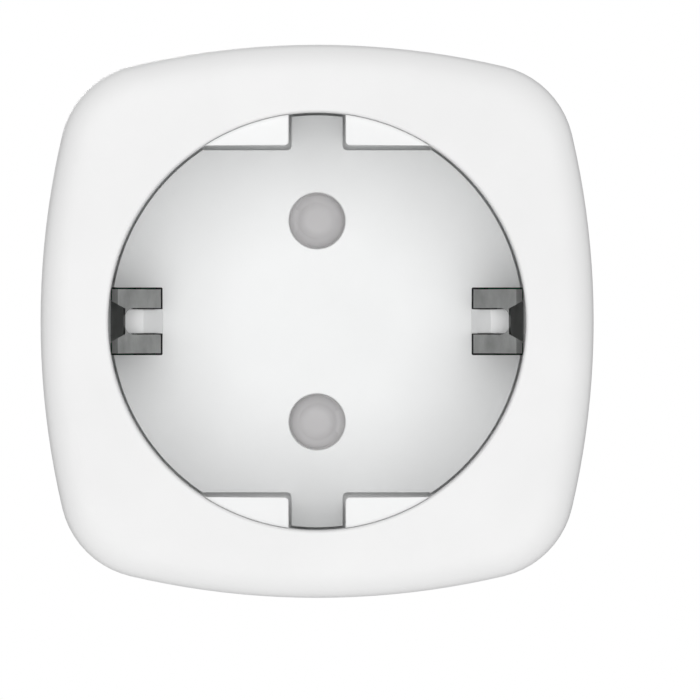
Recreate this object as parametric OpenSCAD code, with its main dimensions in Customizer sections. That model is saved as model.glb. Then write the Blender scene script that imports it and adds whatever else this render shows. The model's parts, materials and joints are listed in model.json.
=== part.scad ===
// Smart plug for a recessed earthed wall socket: a mains plug behind, a shuttered earthed socket in front,
// and a relay, a power supply, an energy meter and a radio module between them.
// Every sub-part is modelled with its axis along z: z = 0 is the plug's end face between the pins, the pins
// point towards -z, and the socket faces +z. place() then turns the whole so that the socket faces -Y.

/* [Body] */
// Width and height of the square body, across the middle of its bulged sides
body_w = 51.6; // [48:0.2:62]
// Radius of the bulge of each side
side_r = 76; // [50:1:150]
// Radius of the body's corners
corner_r = 8.5; // [6:0.5:12]
// Depth of the body, from the seating face to the front face
body_depth = 44; // [40:0.5:56]
// Depth of the rear housing's rim, from the seating face to the parting line
rim_depth = 7; // [6:0.5:9]
// Wall thickness of both shells
wall = 2; // [1.6:0.1:2.4]
// Width of the soft edge round the front face
edge_w = 3.4; // [1:0.1:4]
// Depth of the soft edge round the front face
edge_h = 1.8; // [1:0.1:2.4]
// Radius of the edge round the seating face
rear_edge = 1.4; // [0.5:0.1:1.8]

/* [Socket] */
// Diameter of the recess that the plug goes into
well_d = 39; // [32.5:0.1:40]
// Depth of the recess
well_depth = 17.5; // [15:0.5:20]
// Thickness of the recess floor
floor_t = 1.8; // [1.5:0.1:2.4]
// Thickness of the recess wall
well_wall = 1.6; // [1.2:0.1:2]
// Distance between the two pins, and between the two pin holes
pin_gap = 19; // [15.8:0.1:20]
// Diameter of each pin hole
hole_d = 5.3; // [5:0.1:5.6]
// Depth of each guide rib, from the recess wall inwards
rib_depth = 3.1; // [2:0.1:4]
// Width of the key slot through the guide ribs
rib_slot = 5.2; // [4.5:0.1:6]
// Step from the front face down to the guide ribs
rib_drop = 0.8; // [0.2:0.1:2]
// Width of each earth window in the recess floor
window_w = 6.4; // [6.2:0.1:8]
// Reach of each earth window, from the recess wall inwards
window_depth = 5; // [4.8:0.1:5.6]

/* [Plug] */
// Diameter of the round neck that enters the wall socket
neck_d = 38; // [34:0.1:38.4]
// Length of the neck, from its end face to the seating face
neck_len = 17; // [15:0.5:20]
// Diameter of each pin
pin_d = 4.8; // [4:0.1:5]
// Length of each pin beyond the end face
pin_len = 19; // [15.8:0.5:20]
// Distance of the earth pin's hole from the axis
earth_offset = 10; // [9:0.5:11]
// Bore of the sleeve that takes a wall socket's earth pin
earth_bore = 5; // [4.8:0.1:5.2]

/* [Metal] */
// Thickness of the earth bracket
earth_t = 0.6; // [0.5:0.1:0.8]
// Width of the earth bracket
earth_w = 6; // [5:0.1:6]
// Thickness of the pin contacts
contact_t = 0.6; // [0.4:0.1:0.8]
// Width of the pin contacts
contact_w = 6; // [5:0.5:7]

/* [Button] */
// Diameter of the power button
button_d = 9; // [7:0.5:10]
// Travel of the power button
button_travel = 0.3; // [0.2:0.05:0.5]

/* [Electronics] */
// Thickness of the main board
board_t = 1.6; // [1:0.1:2]
// Size of the relay's case along x, y and z
relay_size = [20.5, 7, 14];
// Size of the tactile switch's case along x, z and y
switch_size = [6, 6, 3.4];

/* [Hidden] */
$fn = 64;

eps = 0.01;          // overlap that makes two solids one
gap = 0.15;          // clearance between parts that are fitted by hand
snug = 0.05;         // clearance of a pin or a post in its seat

// Heights along the axis
z_seat = neck_len;
z_face = neck_len + body_depth;
z_split = z_seat + rim_depth;
z_back = z_face - wall;
z_floor = z_face - well_depth;
z_under = z_floor - floor_t;
board_lift = 1.4;
z_board = z_seat + wall + board_lift;
z_top = z_board + board_t;

// Socket recess
well_r = well_d / 2;
insert_r = well_r + well_wall;
rib_y = well_r - rib_depth;
pin_y = pin_gap / 2;
pin_r = pin_d / 2;
window_x = well_r - window_depth;

// Shutter and its chamber
shutter_room = 3.2;
z_chamber = z_under - shutter_room;
pad_r = hole_d / 2 + 0.95;
shutter_t = 1.6;
shutter_z = z_under - gap - shutter_t;
hub_r = 2.2;
pivot_r = 1.5;
chamber_r = pin_y + pad_r + 0.5;
stop_r = 0.9;
stop_ring = pin_y + 1.5;

// Contact carrier
flange_t = 1.9;
z_flange = z_chamber - flange_t;
flange_r = chamber_r + 2;
pocket_wall = 1.2;
pocket_y = contact_w / 2 + 0.6;
block_x = pin_r + 5.1;
block_y = pin_y + pocket_y + pocket_wall;
ear_r = 2.2;
ear_at = (flange_r + 1) * sqrt(0.5);

// Corner screws
boss_r = 2.8;
boss_shoulder = 3.2;
pilot_r = 1.05;
screw_r = 1.25;
head_r = 2.3;
head_t = 1.8;
head_sink = 2.4;
screw_len = 14;

// Rim joint between the two shells
lip_t = 1.1;
lip_h = 2;

// Outline of the body: four bulged sides, each tangent to two corner arcs, inset by d all round.
side_c = body_w / 2 - side_r;
corner_c = (side_c + sqrt(2 * pow(side_r - corner_r, 2) - side_c * side_c)) / 2;
tangent_a = atan2(corner_c, corner_c - side_c);
diagonal = corner_c * sqrt(2) + corner_r;
boss_at = (diagonal - wall - boss_r + 0.25) * sqrt(0.5);

function arc(centre, r, from, to, steps) =
    [for (i = [0:steps]) let (a = from + (to - from) * i / steps) centre + r * [cos(a), sin(a)]];

function turned(points, a) = [for (p = points) [p[0] * cos(a) - p[1] * sin(a), p[0] * sin(a) + p[1] * cos(a)]];

corner_step = (90 - 2 * tangent_a) / 10;

function quarter(d) = concat(
    arc([side_c, 0], side_r - d, -tangent_a, tangent_a, 14),
    arc([corner_c, corner_c], corner_r - d, tangent_a + corner_step, 90 - tangent_a - corner_step, 8)
);

function outline(d) = [for (q = [0:3]) each turned(quarter(d), 90 * q)];

// Height of the bulged side's surface above the axis, at x
function side_y(x) = side_c + sqrt(side_r * side_r - x * x);

// Sheet metal of thickness t that follows a bent line, as one closed outline
function unit_normal(a, b) = let (v = (b - a) / norm(b - a)) [-v[1], v[0]];
function mitre(p, i) =
    i == 0 ? unit_normal(p[0], p[1]) :
    i == len(p) - 1 ? unit_normal(p[i - 1], p[i]) :
    let (m = unit_normal(p[i - 1], p[i]), n = unit_normal(p[i], p[i + 1])) (m + n) / (1 + m * n);
function strip(p, t) = concat(
    [for (i = [0:len(p) - 1]) p[i] + mitre(p, i) * t / 2],
    [for (i = [len(p) - 1:-1:0]) p[i] - mitre(p, i) * t / 2]
);
function mirrored(p) = [for (i = [len(p) - 1:-1:0]) [-p[i][0], p[i][1]]];

module place() rotate([90, 0, 0]) children();

// A prism of the body's outline, inset by d, from z0 to z1
module body_prism(d, z0, z1) translate([0, 0, z0]) linear_extrude(z1 - z0) polygon(outline(d));

// The same with one end rounded: the edge is w wide and h deep, at the front or at the back
module soft_prism(z0, z1, w, h, front) hull() {
    steps = 6;
    sheet = 0.02;
    body_prism(0, front ? z0 : z0 + h, front ? z1 - h : z1);
    for (i = [1:steps]) {
        a = 90 * i / steps;
        z = h * (1 - sin(a));
        at = front ? z1 - z - sheet : z0 + z;
        body_prism(w * (1 - cos(a)), at, at + sheet);
    }
}

module box(x, y, z) translate([x[0], y[0], z[0]]) cube([x[1] - x[0], y[1] - y[0], z[1] - z[0]]);
module post(at, r, z0, z1) translate([at[0], at[1], z0]) cylinder(r = r, h = z1 - z0);
// A rod along y, from y0 to y1
module rod_y(x, z, r, y0, y1) translate([x, y0, z]) rotate([-90, 0, 0]) cylinder(r = r, h = y1 - y0);
// A rod along x, from x0 to x1
module rod_x(y, z, r, x0, x1) translate([x0, y, z]) rotate([0, 90, 0]) cylinder(r = r, h = x1 - x0);
module corners() for (sx = [-1, 1], sy = [-1, 1]) translate([sx * boss_at, sy * boss_at, 0]) children();
// A sheet outline in x and z, w wide along y
module sheet_xz(points, w) rotate([90, 0, 0]) linear_extrude(w, center = true) polygon(points);

// ---- Power button and indicator, on the top side ----
button_r = button_d / 2;
button_flange = 0.9;
pipe_r = 1;
pipe_flange = 0.6;
button_z = z_split + lip_h + button_r + button_flange + 0.3;
pipe_z = button_z + button_r + button_flange + pipe_r + pipe_flange + 0.3;
board_y = flange_r + 0.3;
control_t = 1;
parts_y = board_y + control_t;
plunger_r = 1.75;
plunger_h = 0.8;
plunger_top = parts_y + switch_size[2] + plunger_h;
flange_y = side_y(button_r + button_flange) - wall - gap;

// Inner face of the side wall at the light pipe
pipe_y = side_y(pipe_r + pipe_flange) - wall - snug;

module front_shell() place() color("whitesmoke") difference() {
    union() {
        difference() {
            soft_prism(z_split, z_face, edge_w, edge_h, true);
            body_prism(wall, z_split - eps, z_back);
        }
        intersection() {
            corners() {
                post([0, 0], boss_r, z_split, z_back + eps);
                post([0, 0], boss_shoulder, z_floor, z_back + eps);
            }
            body_prism(wall / 2, z_split, z_back + eps);
        }
    }
    post([0, 0], well_r, z_back - eps, z_face + eps);
    corners() post([0, 0], pilot_r, z_split, z_split + screw_len);
    rod_y(0, button_z, button_r + gap, pin_y, body_w);
    rod_y(0, pipe_z, pipe_r + snug, pin_y, body_w);
}

module guide_rib() intersection() {
    post([0, 0], well_r - gap, z_floor - eps, z_face - rib_drop);
    difference() {
        box([-well_r, well_r], [rib_y, well_r], [z_floor - eps, z_face]);
        box([-rib_slot / 2, rib_slot / 2], [0, well_d], [z_floor - 1, z_face + 1]);
    }
}

rib_w = 2.2;         // width of the plastic rib between the two prongs of an earth clip
tongue_end = well_r - 1.55;
tongue_rise = 1.1;
ramp_top = z_floor + 9.6;

module prong_rib() sheet_xz([
    [window_x, z_under],
    [well_r + eps, z_under],
    [well_r + eps, ramp_top],
    [tongue_end, ramp_top],
    [tongue_end - 1.7, ramp_top - 0.8],
    [window_x + 0.2, z_floor + 3.4],
    [window_x, z_floor + tongue_rise]
], rib_w);

module socket_insert() place() color("white") difference() {
    union() {
        difference() {
            union() {
                post([0, 0], insert_r, z_under, z_back);
                intersection() {
                    for (a = [45:90:315]) rotate([0, 0, a])
                        box([insert_r - 1, body_w], [-boss_shoulder - 1.4, boss_shoulder + 1.4], [z_under, z_floor]);
                    body_prism(wall + gap, z_under, z_floor);
                }
            }
            post([0, 0], well_r, z_floor, z_back + eps);
            for (s = [-1, 1]) translate([s * (well_r + window_x) / 2, 0, z_floor])
                cube([window_depth + eps, window_w, 3 * floor_t], center = true);
        }
        for (s = [0, 180]) rotate([0, 0, s]) {
            guide_rib();
            intersection() {
                difference() {
                    box([-well_r, well_r], [rib_y, well_r + eps], [z_floor - eps, z_back]);
                    box([-rib_slot / 2, rib_slot / 2], [0, well_d], [z_floor - 1, z_face + 1]);
                }
                post([0, 0], well_r + eps, z_floor - eps, z_back);
            }
            prong_rib();
        }
    }
    for (s = [-1, 1]) post([0, s * pin_y], hole_d / 2, z_under - 1, z_floor + 1);
    corners() post([0, 0], boss_r + gap, z_under - 1, z_floor + 1);
    for (s = [-1, 1]) post([s * ear_at, s * ear_at], 0.8, z_under - 1, z_floor - 0.4);
}

// Each pad has a tilted dish, whose slope turns a pin's push into a turn of the shutter
dish_r = hole_d / 2 - 0.1;
dish_h = 0.8;
dish_tilt = 8;
peg_r = 0.5;
peg_at = [5, 0];

module shutter() place() color("gainsboro") difference() {
    union() {
        for (s = [0, 180]) rotate([0, 0, s]) {
            difference() {
                post([0, pin_y], pad_r, shutter_z, shutter_z + shutter_t);
                translate([0, pin_y, shutter_z + shutter_t - dish_h]) rotate([0, dish_tilt, 0])
                    cylinder(r1 = dish_r / 3, r2 = dish_r, h = dish_h + 0.2);
            }
            box([-2, 2], [0, pin_y], [shutter_z, shutter_z + shutter_t / 2]);
        }
        post([0, 0], hub_r + 1.6, shutter_z, shutter_z + shutter_t);
        post([0, 0], hub_r, z_chamber + gap, shutter_z + eps);
        box([0, peg_at[0]], [-1, 1], [shutter_z, shutter_z + shutter_t]);
        post(peg_at, peg_r, z_chamber + 2 * gap, shutter_z + eps);
    }
    post([0, 0], pivot_r + snug, z_chamber, z_under);
}

// Torsion spring: a coil round the hub and two legs, one against the shutter's peg and one in the carrier
coil_wire = 0.36;
coil_r = hub_r + coil_wire / 2 + 0.25;
coil_turns = 2;
coil_pitch = 0.4;
coil_z = z_chamber + coil_wire / 2 + 0.05;
coil_steps = 24;

function ring(at, along, r, sides) =
    let (t = along / norm(along), u = cross(t, [0, 0, 1]), side = u / norm(u), up = cross(side, t))
    [for (k = [0:sides - 1]) at + r * (cos(360 * k / sides) * side + sin(360 * k / sides) * up)];

// A round wire of radius r swept along a path of points
module wire(path, r, sides = 8) {
    n = len(path);
    rings = [for (i = [0:n - 1])
        ring(path[i], path[min(i + 1, n - 1)] - path[max(i - 1, 0)], r, sides)];
    sides_of = [for (i = [0:n - 2], k = [0:sides - 1])
        [i * sides + k, i * sides + (k + 1) % sides, (i + 1) * sides + (k + 1) % sides, (i + 1) * sides + k]];
    start = [[for (k = [sides - 1:-1:0]) k]];
    end = [[for (k = [0:sides - 1]) (n - 1) * sides + k]];
    polyhedron([for (one = rings) each one], concat(sides_of, start, end));
}

spring_path = concat(
    [[coil_r, -6, coil_z], [coil_r, -3, coil_z]],
    [for (i = [0:coil_turns * coil_steps]) let (a = 360 * i / coil_steps)
        [coil_r * cos(a), coil_r * sin(a), coil_z + coil_pitch * i / coil_steps]],
    [[coil_r + 0.2, 1.2, coil_z + coil_pitch * coil_turns], [peg_at[0] + 1.2, 1.2, coil_z + coil_pitch * coil_turns]]
);

module shutter_spring() place() color("silver") wire(spring_path, coil_wire / 2);

module contact_carrier() place() color("dimgray") difference() {
    union() {
        post([0, 0], flange_r, z_flange, z_under);
        box([-block_x, block_x], [-block_y, block_y], [z_top, z_flange + eps]);
        for (s = [-1, 1]) post([s * ear_at, s * ear_at], ear_r, z_flange, z_under);
    }
    difference() {
        post([0, 0], chamber_r, z_chamber, z_under + eps);
        post([0, 0], pivot_r, z_chamber - eps, z_under);
        for (s = [0, 180]) rotate([0, 0, s]) rotate([0, 0, 90 - stop_angle])
            post([stop_ring, 0], stop_r, z_chamber - eps, z_under - gap);
        post([coil_r + coil_wire / 2 + 0.55, -5], 0.5, z_chamber - eps, shutter_z - gap);
    }
    for (s = [-1, 1]) {
        post([0, s * pin_y], hole_d / 2 + 0.5, z_flange - 1, z_under);
        box([-block_x + pocket_wall, block_x - pocket_wall],
            [s * pin_y - pocket_y, s * pin_y + pocket_y], [z_top - 1, z_flange - eps]);
        post([s * ear_at, s * ear_at], 1.1, z_flange - 1, z_under + 1);
    }
    box([-block_x - 1, block_x + 1], [-earth_w / 2 - gap, earth_w / 2 + gap], [z_top - 1, z_top + earth_t]);
    for (a = [0, 180]) rotate([0, 0, a])
        box([arm_x - earth_t / 2 - gap, flange_r + 1], [-earth_w / 2 - gap, earth_w / 2 + gap],
            [z_flange - 1, z_under + 1]);
}

// Angle between a shutter pad and its stop, at rest
stop_angle = acos((pin_y * pin_y + stop_ring * stop_ring - pow(pad_r + stop_r + snug, 2)) / (2 * pin_y * stop_ring));

carrier_screw_len = flange_t + shutter_room + floor_t - 0.6;

module carrier_screws() place() color("silver") for (s = [-1, 1]) translate([s * ear_at, s * ear_at, 0]) difference() {
    union() {
        post([0, 0], 1.8, z_flange - 1.2, z_flange);
        post([0, 0], 0.8 - snug, z_flange - eps, z_flange + carrier_screw_len - 0.2);
    }
    for (a = [0, 90]) rotate([0, 0, a]) box([-1, 1], [-0.2, 0.2], [z_flange - 1.3, z_flange - 0.6]);
}

pinch_x = pin_r + contact_t / 2 - 0.05;
contact_z = z_top + 1.2 + contact_t / 2;
contact_top = z_flange - 1;
jaw_x = block_x - pocket_wall - contact_t / 2 - gap;
tab_w = 3;

// One side of a pin contact: a flared mouth, a pinch and a straight leg, down to the base
jaw = [
    [jaw_x - 1.6, contact_top],
    [pinch_x, contact_top - 3.6],
    [jaw_x - 0.4, contact_z + 3.2],
    [jaw_x - 0.4, contact_z]
];

module pin_contact(side) {
    y = side * pin_y;
    tab_y = y + side * (contact_w - contact_t) / 2;
    difference() {
        translate([0, y, 0]) sheet_xz(strip(concat(jaw, mirrored(jaw)), contact_t), contact_w);
        for (s = [-1, 1]) box([-jaw_x - 2, jaw_x + 2], [y + s * 1.6 - 0.3, y + s * 1.6 + 0.3],
            [contact_z + 4.5, contact_top + 1]);
    }
    box([-tab_w / 2, tab_w / 2], [tab_y - contact_t / 2, tab_y + contact_t / 2], [z_board - tail, contact_z]);
    box([-tab_w / 2 - 1, tab_w / 2 + 1], [tab_y - contact_t / 2, tab_y + contact_t / 2], [z_top, contact_z]);
}

module line_contact() place() color("peru") pin_contact(1);
module neutral_contact() place() color("peru") pin_contact(-1);

// Earth bracket: one strip across the back, with a forked spring clip up each side of the recess
arm_x = well_r - 1.9;
base_z = z_top + earth_t / 2;
knee_z = z_floor + 5.5;
knee_x = window_x + 0.45;
tip_z = z_face - 3.2;
tip_x = well_r - 0.85;
fork_end = well_r - 1.75;
fork_w = rib_w + 0.3;
fork_r = 0.9;

arm = [[arm_x, base_z], [arm_x, z_floor + 0.5], [knee_x, knee_z], [tip_x, tip_z], [tip_x, tip_z + 0.9]];

module fork_slot() {
    z = [z_under - 1, z_face];
    box([window_x - 2, fork_end - fork_r], [-fork_w / 2, fork_w / 2], z);
    box([window_x - 2, fork_end], [-fork_w / 2 + fork_r, fork_w / 2 - fork_r], z);
    for (s = [-1, 1]) post([fork_end - fork_r, s * (fork_w / 2 - fork_r)], fork_r, z[0], z[1]);
    box([window_x - 2, arm_x + earth_t], [-fork_w / 2, fork_w / 2], [z_under - 1, z_floor + 2]);
}

module earth_bracket() place() color("gray") difference() {
    union() {
        sheet_xz(strip(concat(mirrored(arm), arm), earth_t), earth_w);
        box([-strip_inner - earth_t / 2, strip_inner + earth_t / 2], [-1.4, 1.4], [z_top, z_top + earth_t]);
    }
    for (a = [0, 180]) rotate([0, 0, a]) fork_slot();
}

// Flats and key ribs of the neck, which match the guide ribs of a wall socket
neck_r = neck_d / 2;
flat_y = neck_r - rib_depth + 0.2;
key_w = rib_slot - 0.4;
strip_recess = 0.9;
strip_w = 6;
strip_z0 = 1;
strip_z1 = neck_len - 2.6;
cavity_r = neck_r - wall - strip_recess;
strip_inner = sqrt(cavity_r * cavity_r - strip_w * strip_w / 4) - earth_t / 2 - gap;

module neck_profile(d) intersection() {
    circle(r = neck_r - d, $fn = 128);
    union() {
        square([neck_d, 2 * (flat_y - d)], center = true);
        square([key_w - 2 * d, neck_d], center = true);
    }
}

module rear_housing() place() color("whitesmoke") difference() {
    union() {
        difference() {
            soft_prism(z_seat, z_split, rear_edge, rear_edge, false);
            body_prism(wall, z_seat + wall, z_split + eps);
        }
        difference() {
            body_prism(wall + gap, z_seat + 1, z_split + lip_h);
            body_prism(wall + gap + lip_t, z_seat, z_split + lip_h + eps);
            corners() post([0, 0], boss_r + gap, z_split, z_split + lip_h + 1);
        }
        intersection() {
            corners() post([0, 0], boss_r + 0.4, z_seat + 1, z_split);
            body_prism(wall / 2, z_seat, z_split);
        }
        translate([0, 0, 0]) linear_extrude(z_seat + eps) neck_profile(0);
        for (a = [0:90:270]) rotate([0, 0, a]) post([body_w / 2 - wall - 3, 0], 1.3, z_seat + wall - eps, z_board);
    }
    translate([0, 0, wall]) linear_extrude(z_seat) intersection() {
        neck_profile(wall);
        circle(r = cavity_r, $fn = 128);
    }
    corners() {
        post([0, 0], screw_r + gap, z_seat - eps, z_split + lip_h + 1);
        post([0, 0], head_r + gap, z_seat - eps, z_seat + head_sink);
    }
    for (s = [-1, 1]) {
        post([0, s * pin_y], seat_r + snug, -eps, wall + eps);
        box(s > 0 ? [neck_r - strip_recess, neck_r + 1] : [-neck_r - 1, -neck_r + strip_recess],
            [-strip_w / 2 - snug, strip_w / 2 + snug], [strip_z0 - snug, strip_z1 + snug]);
        box(s > 0 ? [strip_inner - 1, neck_r] : [-neck_r, -strip_inner + 1],
            [-strip_w / 2 - snug, strip_w / 2 + snug], [strip_z1 - earth_t - snug, strip_z1 + snug]);
    }
    post([earth_offset, 0], earth_bore / 2 + 0.3, -eps, wall + eps);
}

module housing_screws() place() color("silver") corners() difference() {
    union() {
        post([0, 0], head_r, z_seat + head_sink - head_t, z_seat + head_sink);
        post([0, 0], pilot_r - snug, z_seat + head_sink - eps, z_split + screw_len - 1);
    }
    for (a = [0, 60, 120]) rotate([0, 0, a])
        box([-1.3, 1.3], [-0.25, 0.25], [z_seat, z_seat + head_sink - head_t + 0.9]);
}

seat_r = pin_r + 0.45;
tail_r = 1.5;
tip_r = 1.2;

module plug_pin(side) translate([0, side * pin_y, 0]) rotate_extrude() polygon(concat(
    [[0, -pin_len]],
    arc([pin_r - tip_r, -pin_len + tip_r], tip_r, -90, 0, 8),
    [[pin_r, 0], [seat_r, 0], [seat_r, wall], [seat_r + 0.9, wall], [seat_r + 0.9, wall + 1.6]],
    [[tail_r, wall + 1.6], [tail_r, z_top], [0, z_top]]
));

module line_pin() place() color("silver") plug_pin(1);
module neutral_pin() place() color("silver") plug_pin(-1);

// Side contact of the plug: an outer leg on the neck, a leg through its wall and a tab up to the bracket
module earth_strip(side) {
    outer = neck_r - strip_recess + snug + earth_t / 2;
    path = [
        [outer, strip_z0],
        [outer, strip_z1 - earth_t / 2],
        [strip_inner, strip_z1 - earth_t / 2],
        [strip_inner, z_top - 1.8 - board_t]
    ];
    rotate([0, 0, side > 0 ? 0 : 180]) {
        sheet_xz(strip(path, earth_t), strip_w - 2 * snug);
        box([strip_inner - earth_t / 2, strip_inner + earth_t / 2], [-1.4, 1.4],
            [z_top - 2 - board_t, base_z - earth_t / 2]);
    }
}

module earth_strip_left() place() color("silver") earth_strip(-1);
module earth_strip_right() place() color("silver") earth_strip(1);

sleeve_r = earth_bore / 2;
sleeve_len = neck_len - wall - 2;

module earth_sleeve() place() color("silver") difference() {
    union() {
        post([earth_offset, 0], sleeve_r + 0.7, wall, wall + sleeve_len);
        box([earth_offset + sleeve_r, strip_inner - earth_t / 2], [-1.5, 1.5],
            [wall + sleeve_len - 2, wall + sleeve_len - 2 + earth_t]);
    }
    post([earth_offset, 0], sleeve_r, wall - eps, wall + sleeve_len + eps);
}

// ---- Boards and components ----
board_inset = wall + gap + lip_t + gap;
tail = 0.8;          // length of a lead below the board
lead_fit = 0.05;     // clearance of a lead in its hole
header_pitch = 2;
header_x = [for (i = [0:4]) 4 + header_pitch * i];

// Free quarter of the main board between the carrier's block and the body wall, beside the earth bracket
quarter_x = block_x + 0.7;
quarter_y = earth_w / 2 + 0.8;

// Transformer, in the quarter on the right below the axis
core_size = [12, 5, 10];
core_leg = 3;
core_yoke = 1.8;
bobbin_y = 4.9;
bobbin_t = 0.5;
bobbin_base = 1;
bobbin_at = [quarter_x + core_size[0] / 2 + 0.3, -quarter_y - bobbin_y];
core_z = z_top + bobbin_base;
coil_low = core_z + core_yoke + bobbin_t;
coil_high = core_z + core_size[2] - core_yoke - bobbin_t;
window_half = core_size[0] / 2 - core_yoke;

// Round leads through the main board: [x, y, radius]
varistor_at = [-quarter_x - 5, quarter_y + 7.25];
fuse_at = [quarter_x + 6.3, quarter_y + 2];
shunt_at = [quarter_x + 3.2, quarter_y + 7];
shunt_span = 5.2;
shunt_t = 0.8;
shunt_w = 2.4;
leads = concat(
    [for (x = header_x) [x, parts_y + 0.8, 0.3]],
    [for (s = [-1, 1]) [varistor_at[0] + 2.5 * s, varistor_at[1] + 0.6 * s, 0.3]],
    [for (s = [-1, 1]) [fuse_at[0] + 5.7 * s, fuse_at[1], 0.35]],
    [for (sx = [-1, 1], sy = [-1, 1]) [bobbin_at[0] + 4 * sx, bobbin_at[1] + 3.8 * sy, 0.35]]
);

module main_board() place() color("darkgreen") difference() {
    body_prism(board_inset, z_board, z_top);
    corners() post([0, 0], boss_r + 0.7, z_board - 1, z_top + 1);
    for (s = [-1, 1]) {
        tab_y = s * (pin_y + (contact_w - contact_t) / 2);
        post([0, s * pin_y], tail_r + gap, z_board - 1, z_top + 1);
        box([-tab_w / 2 - gap, tab_w / 2 + gap], [tab_y - contact_t / 2 - gap, tab_y + contact_t / 2 + gap],
            [z_board - 1, z_top + 1]);
        box(s > 0 ? [strip_inner - earth_t, strip_inner + earth_t] : [-strip_inner - earth_t, -strip_inner + earth_t],
            [-1.4 - gap, 1.4 + gap], [z_board - 1, z_top + 1]);
        translate([shunt_at[0] + s * shunt_span / 2, shunt_at[1], z_top])
            cube([shunt_t + 2 * lead_fit, shunt_w + 2 * lead_fit, 3 * board_t], center = true);
    }
    for (lead = leads) post(lead, lead[2] + lead_fit, z_board - 1, z_top + 1);
}

// The relay stands midway between the carrier's block and the rim
relay_y = -(block_y + side_y(relay_size[0] / 2) - wall - gap - lip_t) / 2;

module relay() place() color("royalblue") difference() {
    translate([-relay_size[0] / 2, relay_y - relay_size[1] / 2, z_top]) cube(relay_size);
    for (s = [-1, 1]) translate([s * (relay_size[0] / 2 - 1.4), relay_y, z_top + relay_size[2]])
        cube([1, relay_size[1] + 1, 0.6], center = true);
}

// Transformer: an upright bobbin on the board, its winding, and a two-window core round both

module about(x, y, z) translate([bobbin_at[0], bobbin_at[1], 0]) box([-x, x], [-y, y], z);

module transformer_core() place() color("dimgray") difference() {
    about(core_size[0] / 2, core_size[1] / 2, [core_z, core_z + core_size[2]]);
    difference() {
        about(window_half, core_size[1], [core_z + core_yoke, core_z + core_size[2] - core_yoke]);
        about(core_leg / 2, core_size[1] + 1, [core_z, core_z + core_size[2]]);
    }
}

module transformer_bobbin() place() color("black") difference() {
    union() {
        about(core_leg / 2 + bobbin_t, core_size[1] / 2 + bobbin_t, [coil_low - bobbin_t, coil_high + bobbin_t]);
        about(window_half, bobbin_y, [coil_high, coil_high + bobbin_t]);
        about(window_half, bobbin_y, [coil_low - bobbin_t, coil_low]);
        about(window_half + 1, bobbin_y, [z_top, core_z]);
        for (s = [-1, 1]) translate([0, s * (bobbin_y + core_size[1] / 2) / 2, 0])
            about(window_half, (bobbin_y - core_size[1] / 2) / 2, [z_top, coil_low]);
        for (lead = leads) if (lead[1] < 0) post(lead, lead[2], z_board - tail, z_top + 0.2);
    }
    about(core_leg / 2, core_size[1] / 2, [core_z, coil_high + 2]);
}

module transformer_winding() place() color("gold") difference() {
    about(window_half - 0.2, bobbin_y - 0.3, [coil_low, coil_high]);
    about(core_leg / 2 + bobbin_t, core_size[1] / 2 + bobbin_t, [coil_low - 1, coil_high + 1]);
}

module can(at, r, h) translate([at[0], at[1], z_top]) rotate_extrude() polygon([
    [0, 0], [r - 0.3, 0], [r, 0.3], [r, 1.2], [r - 0.3, 1.5], [r, 1.8], [r, h - 0.4], [r - 0.4, h], [0, h]
]);

large_can = [-quarter_x - 4.2, -quarter_y - 4.1];
small_can = large_can - [0.6, 6.8];

module bulk_capacitors() place() color("midnightblue") {
    can(large_can, 4, 12);
    can(small_can, 2.5, 11);
}

module safety_capacitor() place() color("goldenrod")
    box([-quarter_x - 13, -quarter_x], [quarter_y, quarter_y + 5], [z_top, z_top + 11]);

module varistor() place() color("mediumblue") {
    rod_y(varistor_at[0], z_top + 5, 4.1, varistor_at[1] - 1.75, varistor_at[1] + 1.75);
    for (lead = leads) if (lead[0] < 0 && lead[1] > 0 && lead[1] < board_y) post(lead, lead[2], z_board - tail, z_top + 3);
}

module fuse_resistor() place() color("seagreen") {
    rod_x(fuse_at[1], z_top + 2.2, 1.8, fuse_at[0] - 4.5, fuse_at[0] + 4.5);
    rod_x(fuse_at[1], z_top + 2.2, 0.35, fuse_at[0] - 5.7, fuse_at[0] + 5.7);
    for (s = [-1, 1]) post(fuse_at + [5.7 * s, 0], 0.35, z_board - tail, z_top + 2.5);
}

module filter_inductor() place() color("black") translate([quarter_x + 9.4, quarter_y + 7.2, z_top]) rotate_extrude()
    polygon([[0, 0], [3, 0], [3, 1.2], [2.2, 1.7], [2.2, 6.3], [3, 6.8], [3, 8], [0, 8]]);

module current_shunt() place() color("tan") translate([shunt_at[0], shunt_at[1], 0]) sheet_xz(strip([
    [-shunt_span / 2, z_board - tail],
    [-shunt_span / 2, z_top + 3],
    [shunt_span / 2, z_top + 3],
    [shunt_span / 2, z_board - tail]
], shunt_t), shunt_w);

// A chip under the main board, with a row of legs on each long side
module chip(at, size, legs) {
    translate([at[0] - size[0] / 2, at[1] - size[1] / 2, z_board - size[2]]) cube(size);
    for (i = [0:legs - 1], s = [-1, 1])
        box([at[0] + (i - (legs - 1) / 2) * size[0] / legs - 0.2, at[0] + (i - (legs - 1) / 2) * size[0] / legs + 0.2],
            [at[1] + s * (size[1] / 2 + 0.4) - 0.5, at[1] + s * (size[1] / 2 + 0.4) + 0.5], [z_board - 0.25, z_board]);
}

module bridge_rectifier() place() color("black") chip([-7, -4], [4.7, 3.8, 1.5], 2);
module metering_chip() place() color("black") chip([-7, 4.6], [4.9, 3.9, 1.5], 4);

control_w = 27;
control_top = z_under - 1.3;

module control_board() place() color("darkgreen") difference() {
    box([-control_w / 2, control_w / 2], [board_y, parts_y], [z_top, control_top]);
    for (x = header_x) rod_y(x, z_top + 1.6, 0.3 + lead_fit, board_y - 1, parts_y + 1);
}

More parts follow.
